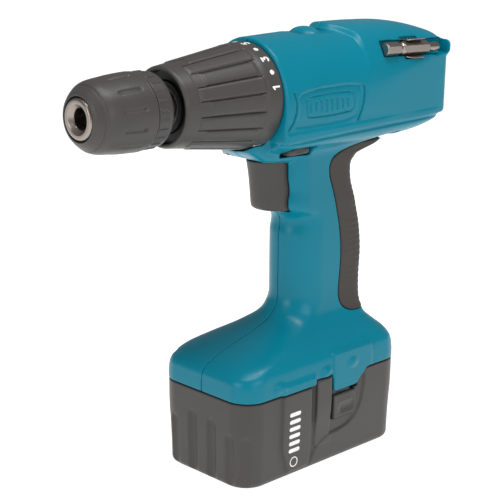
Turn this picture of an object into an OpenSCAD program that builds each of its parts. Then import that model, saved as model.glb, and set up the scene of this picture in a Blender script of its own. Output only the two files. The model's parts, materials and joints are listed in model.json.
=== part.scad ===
// Cordless drill driver with a pod battery, keyless chuck, torque collar and three-stage planetary gearbox.
// Frame: +X out of the chuck, +Y to the user's left, +Z up; the origin is the centre of the battery's base.

/* [Body] */
// Height of the spindle axis above the battery's base
axis_z = 196; // [195:0.5:198]
// Rear end of the motor housing
housing_rear_x = -98.6; // [-100:0.2:-98]
// Front face of the motor housing, behind the torque collar
housing_front_x = 28.8; // [28:0.2:29.4]
// Half of the housing's width at the motor
housing_half_w = 28.8; // [28.5:0.1:29.5]
// Height of the lip along the side of the housing
lip_z = 175.5; // [174.5:0.5:176]
// Wall of the plastic shells
shell_wall = 2.6; // [2.2:0.1:3]

/* [Battery] */
// Length of the battery pack
battery_l = 117.8; // [117:0.2:120]
// Width of the battery pack
battery_w = 65.6; // [65.6:0.2:67]
// Height of the seam between the battery and the handle's foot
seam_z = 46.5; // [46:0.5:48]
// Radius of the battery's upright corners
battery_corner_r = 13; // [10:0.5:15]
// Diameter of one cell
cell_d = 21.8; // [21:0.2:21.8]
// Height of one cell
cell_h = 42; // [36:1:42]

/* [Chuck] */
// Front face of the chuck's nose ring
nose_x = 134.4; // [133.4:0.2:136]
// Radius of the hole through the nose ring
chuck_hole_r = 5; // [4.8:0.1:5.1]
// Radius of the rear sleeve
chuck_r = 18.5; // [18:0.1:19]
// Angle of the jaws to the spindle
jaw_angle = 15; // [14.5:0.5:15.5]

/* [Gearbox] */
// Tooth module of every gear
gear_m = 0.75; // [0.75:0.01:0.75]
// Teeth of the motor pinion and of the second sun
sun_12_teeth = 15; // [15:1:15]
// Teeth of the planets in stages 1 and 2
planet_12_teeth = 18; // [18:1:18]
// Teeth of the third sun
sun_3_teeth = 18; // [18:1:18]
// Teeth of the planets in stage 3
planet_3_teeth = 15; // [15:1:15]
// Play taken off each tooth's thickness
backlash = 0.16; // [0.12:0.01:0.22]

/* [Controls] */
// Half of the trigger's width
trigger_half_w = 10.4; // [10:0.1:11]
// Travel of the trigger
trigger_travel = 6; // [4:0.5:6]

/* [Hidden] */
$fn = 48;

teal = [0.0, 0.478, 0.569];
dark = [0.31, 0.3, 0.285];
pad_grey = [0.27, 0.26, 0.245];
steel = [0.68, 0.68, 0.7];
black = [0.12, 0.12, 0.12];
brass = [0.78, 0.62, 0.3];
copper = [0.72, 0.42, 0.22];
gap = 0.3;

planet_orbit_r = (sun_12_teeth + planet_12_teeth) / 2 * gear_m;
ring_12_teeth = sun_12_teeth + 2 * planet_12_teeth;
ring_3_teeth = sun_3_teeth + 2 * planet_3_teeth;
pad_depth = 1.3;
seam_gap = 0.2;
tab_x0 = -24;
tab_x1 = -4;
tab_z = 37.5;
post_x0 = -3.3;
post_x1 = 8.6;
post_z = 48.6;
side_raise = 1.4;

// ---- outlines and lofts ----

function sgn_pow(v, e) = (v < 0 ? -1 : 1) * pow(abs(v), e);

// Ring of points round a section from x0 to x1 and half-width w: the rear corners have radius r, and the
// front corners are quarters of an ellipse with semi-axes rf along X and wf along Y.
function section(x0, x1, w, r, rf, wf, n) = [for (q = [0:3], i = [0:n / 4 - 1])
    let (front = q == 0 || q == 3,
         step = 90 / (n / 4 - (front ? 0.5 : 1)),
         a = 90 * q + step * (i + (q == 0 ? 0.5 : 0)),
         ax = front ? rf : r,
         ay = front ? wf : r)
    [(front ? x1 - ax : x0 + ax) + ax * cos(a), (q < 2 ? w - ay : ay - w) + ay * sin(a)]];

// Closed solid through rings of 3-D points, all with the same number of points.
module loft(rings) {
    n = len(rings[0]);
    m = len(rings);
    sides = [for (j = [0:m - 2], i = [0:n - 1])
        [j * n + i, (j + 1) * n + i, (j + 1) * n + (i + 1) % n, j * n + (i + 1) % n]];
    first = [[for (i = [0:n - 1]) i]];
    last = [[for (i = [n - 1:-1:0]) (m - 1) * n + i]];
    polyhedron(points = [for (ring = rings, p = ring) p], faces = concat(first, sides, last), convexity = 4);
}

// ---- round solids on the spindle axis ----

module rod(x0, x1, r) {
    translate([x0, 0, axis_z]) rotate([0, 90, 0]) cylinder(h = x1 - x0, r = r);
}

module tube(x0, x1, ro, ri) {
    difference() {
        rod(x0, x1, ro);
        rod(x0 - 1, x1 + 1, ri);
    }
}

// Turned solid: outline gives [x, radius] points.
module turned(outline) {
    translate([0, 0, axis_z]) rotate([0, 90, 0]) rotate_extrude()
        polygon([for (p = outline) [p[1], p[0]]]);
}

// ---- gears ----

function involute(rb, r) = let (t = sqrt(max(0, r * r / (rb * rb) - 1))) t * 180 / PI - atan(t);

// Involute gear outline; play is taken off the tooth's thickness, and is negative for a ring gear's cut.
function gear_points(z, add, ded, play) = let (
        rp = z * gear_m / 2,
        rb = rp * cos(20),
        rt = rp + add * gear_m,
        rr = rp - ded * gear_m,
        half = 90 / z - play / rp * 90 / PI,
        r_low = max(rr, rb),
        radii = [r_low, (r_low + rp) / 2, rp, rt])
    [for (k = [0:z - 1], p = concat(
        [[rr, -half - involute(rb, rp)]],
        [for (r = radii) [r, -half - involute(rb, rp) + involute(rb, r)]],
        [for (i = [3:-1:0]) [radii[i], half + involute(rb, rp) - involute(rb, radii[i])]],
        [[rr, half + involute(rb, rp)]]))
        [p[0] * cos(p[1] + 360 * k / z), p[0] * sin(p[1] + 360 * k / z)]];

// External gear on the spindle axis from x0 to x1, turned by phase, before its bore is cut.
module gear(x0, x1, z, phase) {
    translate([x0, 0, axis_z]) rotate([90, 0, 90]) rotate([0, 0, phase])
        linear_extrude(x1 - x0) polygon(gear_points(z, 0.8, 1.05, backlash / 2));
}

// Internal gear in a plain ring.
module ring_gear(x0, x1, z, ro, phase) {
    difference() {
        rod(x0, x1, ro);
        translate([x0 - 1, 0, axis_z]) rotate([90, 0, 90]) rotate([0, 0, phase])
            linear_extrude(x1 - x0 + 2) polygon(gear_points(z, 1.05, 0.8, -backlash / 2));
    }
}

// Planet gear k of three, at rest in mesh with a sun that has a tooth along +Y.
module planet(x0, x1, z, k, bore_r) {
    orbit_a = 120 * k;
    spin = 180 + 180 / z + orbit_a;
    translate([0, planet_orbit_r * cos(orbit_a), planet_orbit_r * sin(orbit_a)]) difference() {
        gear(x0, x1, z, spin);
        rod(x0 - 1, x1 + 1, bore_r);
    }
}

module at_planets() {
    for (k = [0:2]) translate([0, planet_orbit_r * cos(120 * k), planet_orbit_r * sin(120 * k)]) children();
}

// ---- housing ----

// Section of the motor housing at x: an arched top of height up, straight sides and a flat bottom at low.
function barrel_ring(x, w, up, low, e, n) = [for (i = [0:n - 1])
    let (t = -4 + 188 * i / (n - 1), y = w * sgn_pow(cos(t), 2 / e))
    t < 0 ? [x, w, low] : t > 180 ? [x, -w, low]
        : [x, y, max(low, axis_z - 6 + (up + 6) * pow(max(0, sin(t)), 2 / e))]];

// Section of the underside, which closes in below the lip.
function belly_ring(x, w, low, n) = [for (i = [0:n - 1])
    let (t = 180 + 180 * i / (n - 1))
    [x, w * sgn_pow(cos(t), 0.8), lip_z + 2 + (lip_z + 2 - low) * -pow(abs(sin(t)), 0.8)]];

module barrel(inset) {
    w = housing_half_w - inset;
    low = lip_z + inset;
    x_front = inset > 0 ? -1.9 : housing_front_x;
    loft([
        barrel_ring(housing_rear_x + inset, w - 4, 24 - inset, low + 2.5, 2.8, 28),
        barrel_ring(housing_rear_x + 3 + inset, w - 0.5, 26.4 - inset, low, 2.8, 28),
        barrel_ring(-76, w, 30.2 - inset, low, 2.6, 28),
        barrel_ring(-27, w, 32.2 - inset, low, 2.3, 28),
        barrel_ring(-18, w, 29.7 - inset, low, 2.2, 28),
        barrel_ring(-2, w, 29.4 - inset, low, 2.15, 28),
        barrel_ring(x_front, w, (inset > 0 ? 29.4 : 28.7) - inset, low, 2.1, 28)
    ]);
}

module belly(inset) {
    loft([
        belly_ring(housing_rear_x + 3 + inset, 24.5 - inset, 173.2 + inset, 17),
        belly_ring(-88, 26 - inset, 168.8 + inset, 17),
        belly_ring(-60, 26.5 - inset, 165.2 + inset, 17),
        belly_ring(0, 26.5 - inset, 165 + inset, 17),
        belly_ring(housing_front_x - 1 - inset, 24 - inset, 168.5 + inset, 17)
    ]);
}

function level(z, x0, x1, w, r, rf, wf) = [for (p = section(x0, x1, w, r, rf, wf, 40)) [p[0], p[1], z]];

// Grip from the motor housing down to the battery's seam, flaring into the foot.
module grip(inset) {
    i = inset;
    foot_x = battery_l / 2;
    foot_w = battery_w / 2;
    foot_r = battery_corner_r - i / 2;
    loft([
        level(seam_z + (i > 0 ? -1 : seam_gap), -foot_x + i, foot_x - i, foot_w - i, foot_r, foot_r, foot_r),
        level(56, -foot_x + 0.6 + i, foot_x - 1.6 - i, foot_w - 0.8 - i, foot_r, 14 - i / 2, 14 - i / 2),
        level(62 - i / 2, -56.6 + i, 53.5 - i, 30.4 - i, 14.5 - i / 2, 16 - i / 2, 15.5 - i / 2),
        level(66 - i, -54 + i, 43 - i, 26.4 - i, 15 - i / 2, 17 - i / 2, 16 - i / 2),
        level(70.5 - i, -49.6 + i, 26.5 - i, 20.8 - i, 13 - i / 2, 17 - i / 2, 16 - i / 2),
        level(75 - i, -48.6 + i, 11 - i, 17.4 - i, 11 - i / 2, 18 - i, 15.4 - i),
        level(82, -48.6 + i, 6 - i, 16.4 - i, 10.5 - i / 2, 18 - i, 15.6 - i),
        level(105, -48.6 + i, 4.8 - i, 16.3 - i, 10.5 - i / 2, 18 - i, 15.8 - i),
        level(120, -46.3 + i, 4.8 - i, 16.3 - i, 10.5 - i / 2, 18 - i, 15.8 - i),
        level(135, -42.4 + i, 6 - i, 16.3 - i, 10.5 - i / 2, 17 - i, 15 - i),
        level(146, -40 + i, 10.8 - i, 16.4 - i, 11 - i / 2, 14 - i, 12 - i),
        level(154, -40.4 + i, 10.8 - i, 16.8 - i, 11.5 - i / 2, 12 - i, 10 - i),
        level(158, -42.8 + i, 10.8 - i, 17 - i, 11.5 - i / 2, 12 - i, 10 - i),
        level(161, -47.6 + i, 10.8 - i, 17.2 - i, 11.5 - i / 2, 12 - i, 10 - i),
        level(164, -57.6 + i, 10.8 - i, 17.3 - i, 11 - i / 2, 12 - i, 10 - i),
        level(lip_z + 1, -66 + i, 24 - i, 17.6 - i, 10.5 - i / 2, 12 - i, 10 - i)
    ]);
}

// Block under the collar that guards the trigger's top.
module chin() {
    difference() {
        translate([0, 14.5, 0]) rotate([90, 0, 0]) linear_extrude(29)
            polygon([[8, 162.9], [27.5, 162.9], [30.5, 165], [38.4, 169.2], [38.8, 176], [8, 178]]);
        rod(housing_front_x, 90, 27.3);
    }
}

module housing_outside() {
    barrel(0);
    belly(0);
    grip(0);
    chin();
    pocket_lug();
}

bit_x0 = -95.6;
bit_x1 = -46;
bit_z = 215.4;
bit_y = 25.2;
bit_slope = 2.2;
pocket_y = 20.4;

// Places children, drawn with the bit along X at z = 0, on the bit's line, which falls towards the rear.
module on_bit() {
    translate([bit_x0, bit_y, bit_z - 2.6]) rotate([0, -bit_slope, 0]) children();
}

module bit_pocket() {
    on_bit() translate([-1.6, pocket_y - bit_y, -5.2]) cube([bit_x1 - bit_x0 + 2.4, 20, 9.9]);
}

// Raised end of the bit pocket at the housing's rear corner.
module pocket_lug() {
    on_bit() translate([-2.9, -6, -4.4]) cube([4.6, 9, 9]);
}

// Room for the switch and the wires up to the motor.
module switch_bay() {
    translate([-38, -12.5, 140]) cube([47, 25, 40]);
}

// Everything that is hollow inside the two shells.
module housing_hollow() {
    barrel(shell_wall);
    belly(shell_wall);
    translate([-94, -23.5, lip_z - 0.5]) cube([91, 47, 5]);
    rod(-12, housing_front_x + 1, 23.8);
    difference() {
        grip(shell_wall);
        translate([-80, -40, 150]) cube([160, 80, 40]);
    }
    // trigger's opening and lever's slot
    translate([2.4, -trigger_half_w - gap, 134.5]) cube([25, 2 * trigger_half_w + 2 * gap, 28.8]);
    translate([-4.2, -30, 164.6]) cube([26.4, 60, 5.8]);
}

// Slot and dished recess of the speed selector, and the channel that its plate slides in.
module selector_opening() {
    translate([-17.9, -6.8, axis_z + 22]) cube([16.8, 13.6, 20]);
    translate([-20.4, -12.5, axis_z + 27.4]) cube([19.6, 25, 10]);
    translate([-23.9, -11.4, axis_z + 20]) cube([40.2, 22.8, 5.6]);
}

// Shelf and wall of the bit pocket, the shoulders that hold the motor and the block over the selector's plate.
module housing_ribs() {
    difference() {
        intersection() {
            union() {
                on_bit() translate([-3, pocket_y - bit_y - 2.2, -9]) cube([bit_x1 - bit_x0 + 7, 2.2, 24]);
                on_bit() translate([-3, pocket_y - bit_y - 2.2, -7.6]) cube([bit_x1 - bit_x0 + 7, 12, 2.4]);
                on_bit() translate([bit_x1 - bit_x0 + 1, pocket_y - bit_y - 2.2, -7.6]) cube([2.4, 12, 20]);
                translate([-27, -40, 150]) cube([3, 80, 90]);
                translate([-63, -40, 150]) cube([3, 80, 90]);
                translate([-24, -16, axis_z + 23.9]) cube([22.5, 32, 12]);
            }
            union() {
                barrel(1);
                belly(1);
            }
        }
        rod(-80, -11, 18.15);
        switch_bay();
        bit_pocket();
    }
}

// Screws: [x, z, distance of the head's face from the middle plane].
screw_places = [[29.6, 167, 14], [-92, 182, 26], [-7, 122, 12.5], [-7, 92, 12.5],
    [50, 57, 24], [-51, 57, 25], [-90, 204, 26], [-70, 172, 24]];

module screw_bosses() {
    for (s = screw_places) translate([s[0], s[2] - 0.6, s[1]]) rotate([90, 0, 0])
        cylinder(h = 2 * s[2] - 1.2, r = 3.9);
}

module screw_holes() {
    for (s = screw_places) {
        translate([s[0], 8, s[1]]) rotate([90, 0, 0]) cylinder(h = 40, r = 1.55);
        translate([s[0], -s[2] + 3.1, s[1]]) rotate([90, 0, 0]) cylinder(h = 30, r = 3.1);
    }
}

module housing_half(side) {
    difference() {
        union() {
            difference() {
                housing_outside();
                housing_hollow();
                switch_bay();
                bit_pocket();
            }
            housing_ribs();
            intersection() {
                screw_bosses();
                housing_outside();
            }
            tab();
        }
        translate([-150, side > 0 ? -100 : 0, 30]) cube([300, 100, 220]);
        screw_holes();
        difference() {
            pad_region();
            grip(pad_depth);
        }
        selector_opening();
        translate([post_x0 - 0.6, -40, 40]) cube([post_x1 - post_x0 + 1.2, 80, post_z - 39.6]);
    }
}

// Tabs that hang over the battery's latches on both sides.
module tab() {
    for (s = [-1, 1]) translate([tab_x0, s > 0 ? 31.2 : -33.8, tab_z]) cube([tab_x1 - tab_x0, 2.6, 13]);
}

// Part of the grip that the rubber pad covers.
module pad_region() {
    difference() {
        translate([-75, -30, 71]) cube([60, 60, 95]);
        rotate([90, 0, 0]) linear_extrude(80, center = true) polygon([
            [40, 40], [-60, 40], [-60, 72], [-40, 72], [-31, 75], [-26.4, 82], [-25.2, 90], [-25.4, 105],
            [-24.4, 120], [-20.8, 137], [-18.6, 150], [-24, 156.5], [-34, 161], [-50, 163.5], [-80, 165.5],
            [-80, 190], [40, 190]
        ]);
    }
}

module housing_left() color(teal) housing_half(1);
module housing_right() color(teal) housing_half(-1);

// Screws that hold the two shells together, with their heads on the right side.
module housing_screws() color(steel) for (s = screw_places) translate([s[0], -s[2] + 3, s[1]]) {
    rotate([90, 0, 0]) difference() {
        cylinder(h = 2.6, r = 3);
        translate([0, 0, 1.2]) cylinder(h = 3, r = 1.3, $fn = 6);
    }
    rotate([-90, 0, 0]) cylinder(h = s[2] + 2, r = 1.5);
}

// Rubber pad on the back of the grip.
module grip_pad() color(pad_grey) difference() {
    intersection() {
        grip(0);
        pad_region();
    }
    grip(pad_depth);
    barrel(0);
    belly(0);
}

// ---- gearbox ----

module gear_case() color("dimgray") difference() {
    union() {
        rod(-12, 35, 23.6);
        rod(35, 83, 12.4);
        for (s = [-1, 1]) translate([47, -1.5, axis_z + s * 13 - 1]) cube([23, 3, 2]);
    }
    rod(-13, 32, 21.65);
    rod(31, 90, 7);
    rod(37, 43.5, 10);
    rod(76.5, 90, 10);
    for (k = [0:5]) rotate_axis(60 * k) translate([31, 0, 19.2]) rotate([0, 90, 0]) cylinder(h = 5, r = 2.3);
    // window for the shift fork
    translate([0.2, -7, axis_z + 15]) cube([16.6, 14, 12]);
}

module rotate_axis(a) translate([0, 0, axis_z]) rotate([a, 0, 0]) children();

module ring_gear_1() color(steel) ring_gear(-9, -1.5, ring_12_teeth, 21.6, 180 / ring_12_teeth);
module ring_gear_2() color(steel) difference() {
    ring_gear(0.5, 11.5, ring_12_teeth, 21.2, 180 / ring_12_teeth);
    tube(4, 7, 22, 20.5);
}
module ring_gear_3() color(steel) difference() {
    ring_gear(17.5, 31.2, ring_3_teeth, 21.6, 0);
    rod(26.6, 32, 17.9);
}

module ball_bearings() color(steel) {
    bearing(37.5, 43.5, 9.95, 6);
    bearing(76.5, 82.5, 9.95, 6);
    bearing(-16, -12.4, 5.95, 2.5);
    bearing(-71.6, -67.6, 5.95, 2.5);
}

// Bearing with a groove between its races on each face.
module bearing(x0, x1, ro, ri) {
    w = (ro - ri) * 0.28;
    d = (x1 - x0) * 0.25;
    turned([
        [x0, ri], [x0, ri + w], [x0 + d, ri + w], [x0 + d, ro - w], [x0, ro - w], [x0, ro],
        [x1, ro], [x1, ro - w], [x1 - d, ro - w], [x1 - d, ri + w], [x1, ri + w], [x1, ri]
    ]);
}

// Coil of wire along X from x0 to x1, round the line at (y, z).
module coil(x0, x1, y, z, r, wire_r, turns, sides, steps) {
    n = round(turns * steps);
    loft([for (j = [0:n])
        let (a = 360 * turns * j / n)
        [for (i = [0:sides - 1])
            let (b = -360 * i / sides, rr = r + wire_r * cos(b))
            [x0 + wire_r + (x1 - x0 - 2 * wire_r) * j / n + wire_r * sin(b), y + rr * cos(a), z + rr * sin(a)]]]);
}

module clutch_balls() color(steel) for (k = [0:5]) rotate_axis(60 * k)
    translate([33.5, 0, 19.2]) sphere(r = 2.2);

// Coil spring round the gear case's nose, with the washer that presses on the balls.
module clutch_spring() color(steel) {
    tube(36, 37.2, 21.2, 13.2);
    coil(37.1, 58.4, 0, axis_z, 16.2, 1.3, 4.5, 8, 20);
}

module carrier_1() color(steel) {
    difference() {
        gear(-0.8, 3, ring_12_teeth, 180 / ring_12_teeth);
        rod(-2, 0.2, 6.9);
    }
    difference() {
        gear(3, 12, sun_12_teeth, 0);
        rod(4, 13, 2);
    }
    at_planets() rod(-8.6, -0.8, 1.8);
}

module planets_2() color(brass) for (k = [0:2]) planet(3.6, 11.2, planet_12_teeth, k, 1.85);

module carrier_2() color(steel) {
    rod(12.3, 15, 16.9);
    difference() {
        gear(15, 26.4, sun_3_teeth, 0);
        rod(16, 27, 2);
    }
    at_planets() rod(3.8, 12.3, 1.8);
}

module planet_1(k) color(brass) planet(-8.6, -1.4, planet_12_teeth, k, 1.85);
module planet_3(k) color(brass) planet(18.4, 26, planet_3_teeth, k, 1.85);

module pinion() color(steel) difference() {
    gear(-9.5, -1.2, sun_12_teeth, 0);
    rod(-10, 0, 2.5);
}

module spindle() color(steel) difference() {
    union() {
        rod(27, 31, 16.4);
        rod(31, 86, 5.95);
        rod(86, 102.6, 4.75);
        at_planets() rod(18.6, 27, 1.8);
    }
    rod(84, 103, 2.5);
}

// ---- motor ----

module motor_can() color("silver") difference() {
    rod(-66, -12, 18);
    rod(-67, -16.4, 16.4);
    rod(-16.5, -12.4, 6);
    rod(-20, -11, 3.4);
}

module magnets() color("dimgray") for (s = [-1, 1]) difference() {
    tube(-58, -21, 16.35, 13.4);
    translate([-60, -20, axis_z + (s > 0 ? -40 : -4)]) cube([42, 40, 44]);
}

module end_bell() color(black) difference() {
    rod(-72.4, -66, 17.9);
    rod(-71.6, -65, 6);
    rod(-74, -65, 2.9);
    rod(-67.6, -65, 15.2);
    for (s = [-1, 1]) translate([-71.4, s * 11 - 3, axis_z - 3]) cube([6, 6, 6]);
}

module brushes() color([0.2, 0.2, 0.22]) for (s = [-1, 1])
    translate([-66.8, s > 0 ? 5.75 : -13.75, axis_z - 2.4]) cube([4.8, 8, 4.8]);

module armature() color(steel) difference() {
    rod(-55, -24, 12.6);
    rod(-56, -23, 2.5);
    for (k = [0:4]) rotate_axis(72 * k) translate([-56, -0.9, 10.6]) cube([34, 1.8, 3]);
    for (k = [0:4]) rotate_axis(72 * k) translate([-56, 0, 8.2]) rotate([0, 90, 0]) cylinder(h = 34, r = 2.6);
}

module windings() color(copper) {
    tube(-24, -20.5, 11.4, 2.6);
    tube(-59.2, -55, 11.4, 2.6);
    for (k = [0:4]) rotate_axis(72 * k) translate([-55, 0, 8.2]) rotate([0, 90, 0]) cylinder(h = 31, r = 2.5);
}

module commutator() color(copper) difference() {
    rod(-67, -59.5, 5.6);
    rod(-68, -59, 2.5);
    for (k = [0:4]) rotate_axis(72 * k + 36) translate([-68, -0.25, 4.6]) cube([9, 0.5, 2]);
}

module motor_shaft() color(steel) rod(-84, -1.2, 2.45);

module cooling_fan() color(black) {
    difference() {
        union() {
            rod(-75, -73.4, 15.6);
            rod(-82, -75, 4.6);
            for (k = [0:11]) rotate_axis(30 * k) translate([-81, -0.6, 4]) cube([6, 1.2, 11.4]);
        }
        rod(-83, -73, 2.5);
    }
}

// ---- chuck ----

module jaw_path(k, r, x0, x1) {
    // axis passes 3.9 mm from the spindle axis at x = 119
    rotate_axis(120 * k) translate([119, 0, 3.9]) rotate([0, 90 + jaw_angle, 0])
        translate([0, 0, (x0 - 119) / cos(jaw_angle)]) cylinder(h = (x1 - x0) / cos(jaw_angle), r = r);
}

module chuck_body() color(steel) difference() {
    rod(92.4, 127, 10.4);
    rod(91, 103, 4.8);
    rod(102, 106, 2.6);
    rod(104.6, 128, chuck_hole_r + 0.2);
    for (k = [0:2]) jaw_path(k, 3, 90, 131);
    turned([[109.6, 7.8], [109.6, 11], [115.6, 11], [115.6, 7.8]]);
}

module chuck_screw() color(steel) {
    difference() {
        rod(104.7, 108, 3.7);
        translate([106, 0, axis_z]) rotate([0, 90, 0]) cylinder(h = 3, r = 1.8, $fn = 6);
    }
    rod(87, 104.7, 2.45);
}

module nose_ring() color("silver") turned([
    [127, chuck_hole_r], [127, 10], [nose_x - 1, 10], [nose_x, 9.2],
    [nose_x, 6.9], [nose_x - 1.9, chuck_hole_r]
]);

// Jaw with a 120 degree wedge along its gripping edge; at rest it is fully open.
module jaw(k) color(steel) intersection() {
    jaw_path(k, 2.8, 95, 124);
    rotate_axis(120 * k) translate([90, 0, 0]) rotate([90, 0, 90]) linear_extrude(29) polygon([
        [-0.6, chuck_hole_r], [0.6, chuck_hole_r], [3, chuck_hole_r + 1.5], [3, 18], [-3, 18],
        [-3, chuck_hole_r + 1.5]
    ]);
}

module split_nut() color(brass) difference() {
    rod(110, 115, 13.9);
    // cone that follows the jaws' outer line
    turned([[109, 0], [109, jaw_line(109) + gap], [116, jaw_line(116) + gap], [116, 0]]);
}

function jaw_line(x) = 3.9 + 2.8 / cos(jaw_angle) + (119 - x) * tan(jaw_angle);

module rear_sleeve() color(dark) {
    difference() {
        turned([
            [92.4, 10.4], [92.4, chuck_r - 1.4], [93.6, chuck_r - 0.2], [95, chuck_r], [100.9, chuck_r],
            [100.9, 14.2], [94, 14.2], [94, 10.4]
        ]);
        for (k = [0:23]) rotate_axis(15 * k) translate([95.4, -0.55, chuck_r - 0.5]) cube([6, 1.1, 2]);
        translate([91, 0, axis_z + 15.6]) rotate([0, 90, 0]) cylinder(h = 2, r = 1.2);
    }
}

module front_sleeve() color(dark) difference() {
    turned([
        [101.3, 14], [101.3, chuck_r - 0.2], [104, chuck_r], [110, chuck_r - 0.2], [114, chuck_r - 0.4],
        [118, chuck_r - 0.9], [124, chuck_r - 1.4], [126.4, chuck_r - 1.7], [128.4, 15.9], [130.4, 14.5],
        [132.4, 12.7], [133.8, 11.2], [133.8, 10.4], [124.4, 10.4], [122.4, 14]
    ]);
    for (k = [0:11]) rotate_axis(30 * k + 15) translate([103.5, 0, chuck_r + 1.1]) rotate([0, 90, 0])
        cylinder(h = 18, r = 1.7);
}

// ---- torque collar ----

module torque_collar() color(dark) {
    difference() {
        turned([
            [29, 24], [29, 26.2], [29.6, 26.6], [37, 26], [43, 25.1], [57, 23.4], [72, 21.4], [80, 20.2],
            [84.8, 19.5], [85.6, 18.7], [85.6, 17.6], [83.4, 17.2], [83.4, 12.8], [81.4, 12.8], [81.4, 16.6],
            [70, 18.5], [40, 22], [36, 23.9]
        ]);
        for (k = [0:23]) rotate_axis(15 * k + 7.5) translate([44, 0, 25.6]) rotate([0, 90 + 7.6, 0])
            cylinder(h = 24, r = 1.5);
    }
}

module clutch_nut() color(brass) difference() {
    rod(58.6, 62, 18.2);
    rod(57, 64, 12.8);
    for (s = [-1, 1]) translate([57, -1.9, axis_z + s * 13 - 1.4]) cube([7, 3.8, 2.8]);
}

// ---- handle ----

function trigger_level(z, x1) = level(z, 11.2, x1, trigger_half_w, 0.6, x1 - 12.4, trigger_half_w - 0.8);

// Finger piece with a round front, hollow behind, and the arm that goes into the switch.
module trigger() color(dark) {
    difference() {
        loft([
            trigger_level(135.2, 18.6), trigger_level(135.9, 20.6), trigger_level(138, 22), trigger_level(143, 22.6),
            trigger_level(150, 23.4), trigger_level(157, 24.6), trigger_level(162, 25.6)
        ]);
        translate([10, -8.4, 137.4]) cube([8.6, 16.8, 22.6]);
    }
    translate([3.4, -3, 146]) cube([15.6, 6, 6]);
}

module trigger_spring() color(steel) coil(9.2, 18.4, 0, 156, 2.7, 0.45, 5, 6, 14);

module switch_body() color(black) {
    difference() {
        translate([-30, -8.6, 138]) cube([32, 17.2, 26]);
        translate([-6, -3.2, 145.8]) cube([12, 6.4, 6.4]);
    }
    translate([2, -4, 153.2]) cube([7, 8, 5.6]);
    translate([lever_pivot_x, 0, 163]) cylinder(h = 7, r = 1.45);
}

module heat_sink() color("silver") {
    translate([-30, -10.8, 139.5]) cube([20, 2.1, 22.5]);
    for (i = [0:4]) translate([-29.4 + 4.4 * i, -12, 139.5]) cube([1.2, 1.3, 22.5]);
}

module wiring() color([0.7, 0.1, 0.1]) for (s = [-1, 1]) {
    translate([-20, s * 6, 104]) cylinder(h = 34, r = 1.4);
    translate([-34, s * 6, 139]) rotate([0, 90, 0]) cylinder(h = 4, r = 1.4);
    translate([-34, s * 6, 137.6]) cylinder(h = 38, r = 1.4);
}

// Block in the grip with the two blades that meet the battery's contacts.
module terminal_block() color(black) {
    difference() {
        translate([-34, -10, 96]) cube([28, 20, 8]);
        for (s = [-1, 1]) translate([-20, s * 6, 102]) cylinder(h = 3, r = 1.45);
    }
    for (s = [-1, 1]) translate([-32, s * 6 - 0.5, 84]) cube([18, 1, 12]);
}

lever_pivot_x = -8;

// Push-through lever that turns about an upright pin on the switch.
module reversing_lever() color(dark) {
    difference() {
        union() {
            translate([-0.6, -18.6, 165.4]) cube([19.6, 37.2, 4.2]);
            translate([lever_pivot_x, -3.5, 165.4]) cube([9, 7, 4.2]);
            translate([lever_pivot_x, 0, 165.4]) cylinder(h = 4.2, r = 3.5);
        }
        for (s = [-1, 1], i = [0:3]) translate([4 + 3 * i, s * 18.6 - 0.5, 165]) cube([1.2, 1, 6]);
        translate([lever_pivot_x, 0, 160]) cylinder(h = 20, r = 1.5);
    }
}

module speed_selector() color(dark) {
    difference() {
        translate([-23.4, -11, axis_z + 24]) cube([34, 22, 1.4]);
        rod(-25, 30, 23.9);
    }
    translate([-17.4, -6.4, axis_z + 25.3]) cube([10.8, 12.8, 2.4]);
    for (i = [0:3]) translate([-16.2 + 2.4 * i, -6.4, axis_z + 27.6]) cube([1.2, 12.8, 0.8]);
}

// Fork between the speed selector and the groove of the sliding ring gear.
module shift_fork() color(steel) difference() {
    union() {
        translate([2.4, -3, axis_z + 23.2]) cube([6.2, 6, 0.8]);
        translate([4.4, -3, axis_z + 20]) cube([2.2, 6, 3.4]);
    }
    rod(0, 20, 20.7);
}

// ---- spare bit ----

module bit_clip() color(steel) on_bit() translate([20, 0, 0]) {
    translate([0, pocket_y - bit_y, -4.4]) cube([13, 0.7, 8.8]);
    for (s = [-1, 1]) translate([0, pocket_y - bit_y + 0.6, s * 4.1 - 0.3]) cube([13, 6, 0.6]);
}

// Two-ended quarter-inch bit with a round waist and a cross point at each end.
module spare_bit() color(steel) on_bit() rotate([0, 90, 0]) {
    translate([0, 0, 4.4]) cylinder(h = 2, r = 1.3);
    translate([0, 0, 6.4]) cylinder(h = 9.6, r = 2.5);
    translate([0, 0, 16]) cylinder(h = 20, r = 3.65, $fn = 6);
    translate([0, 0, 36]) cylinder(h = 3, r = 2.6);
    translate([0, 0, 39]) cylinder(h = 8.5, r = 3.65, $fn = 6);
    translate([0, 0, 47.5]) cylinder(h = 2.3, r = 2.3);
}

// ---- battery ----

module battery_outline(inset) {
    r = battery_corner_r - inset;
    x = battery_l / 2 - battery_corner_r;
    y = battery_w / 2 - battery_corner_r;
    for (sx = [-1, 1], sy = [-1, 1]) translate([sx * x, sy * y]) circle(r = r);
    square([2 * x + 2 * r, 2 * y], center = true);
    square([2 * x, 2 * y + 2 * r], center = true);
}

cover_z = seam_z - 3;
cell_pitch = 25.6;
cell_row_y = 17.8;

module both_sides() {
    children();
    mirror([0, 1, 0]) children();
}

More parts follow.
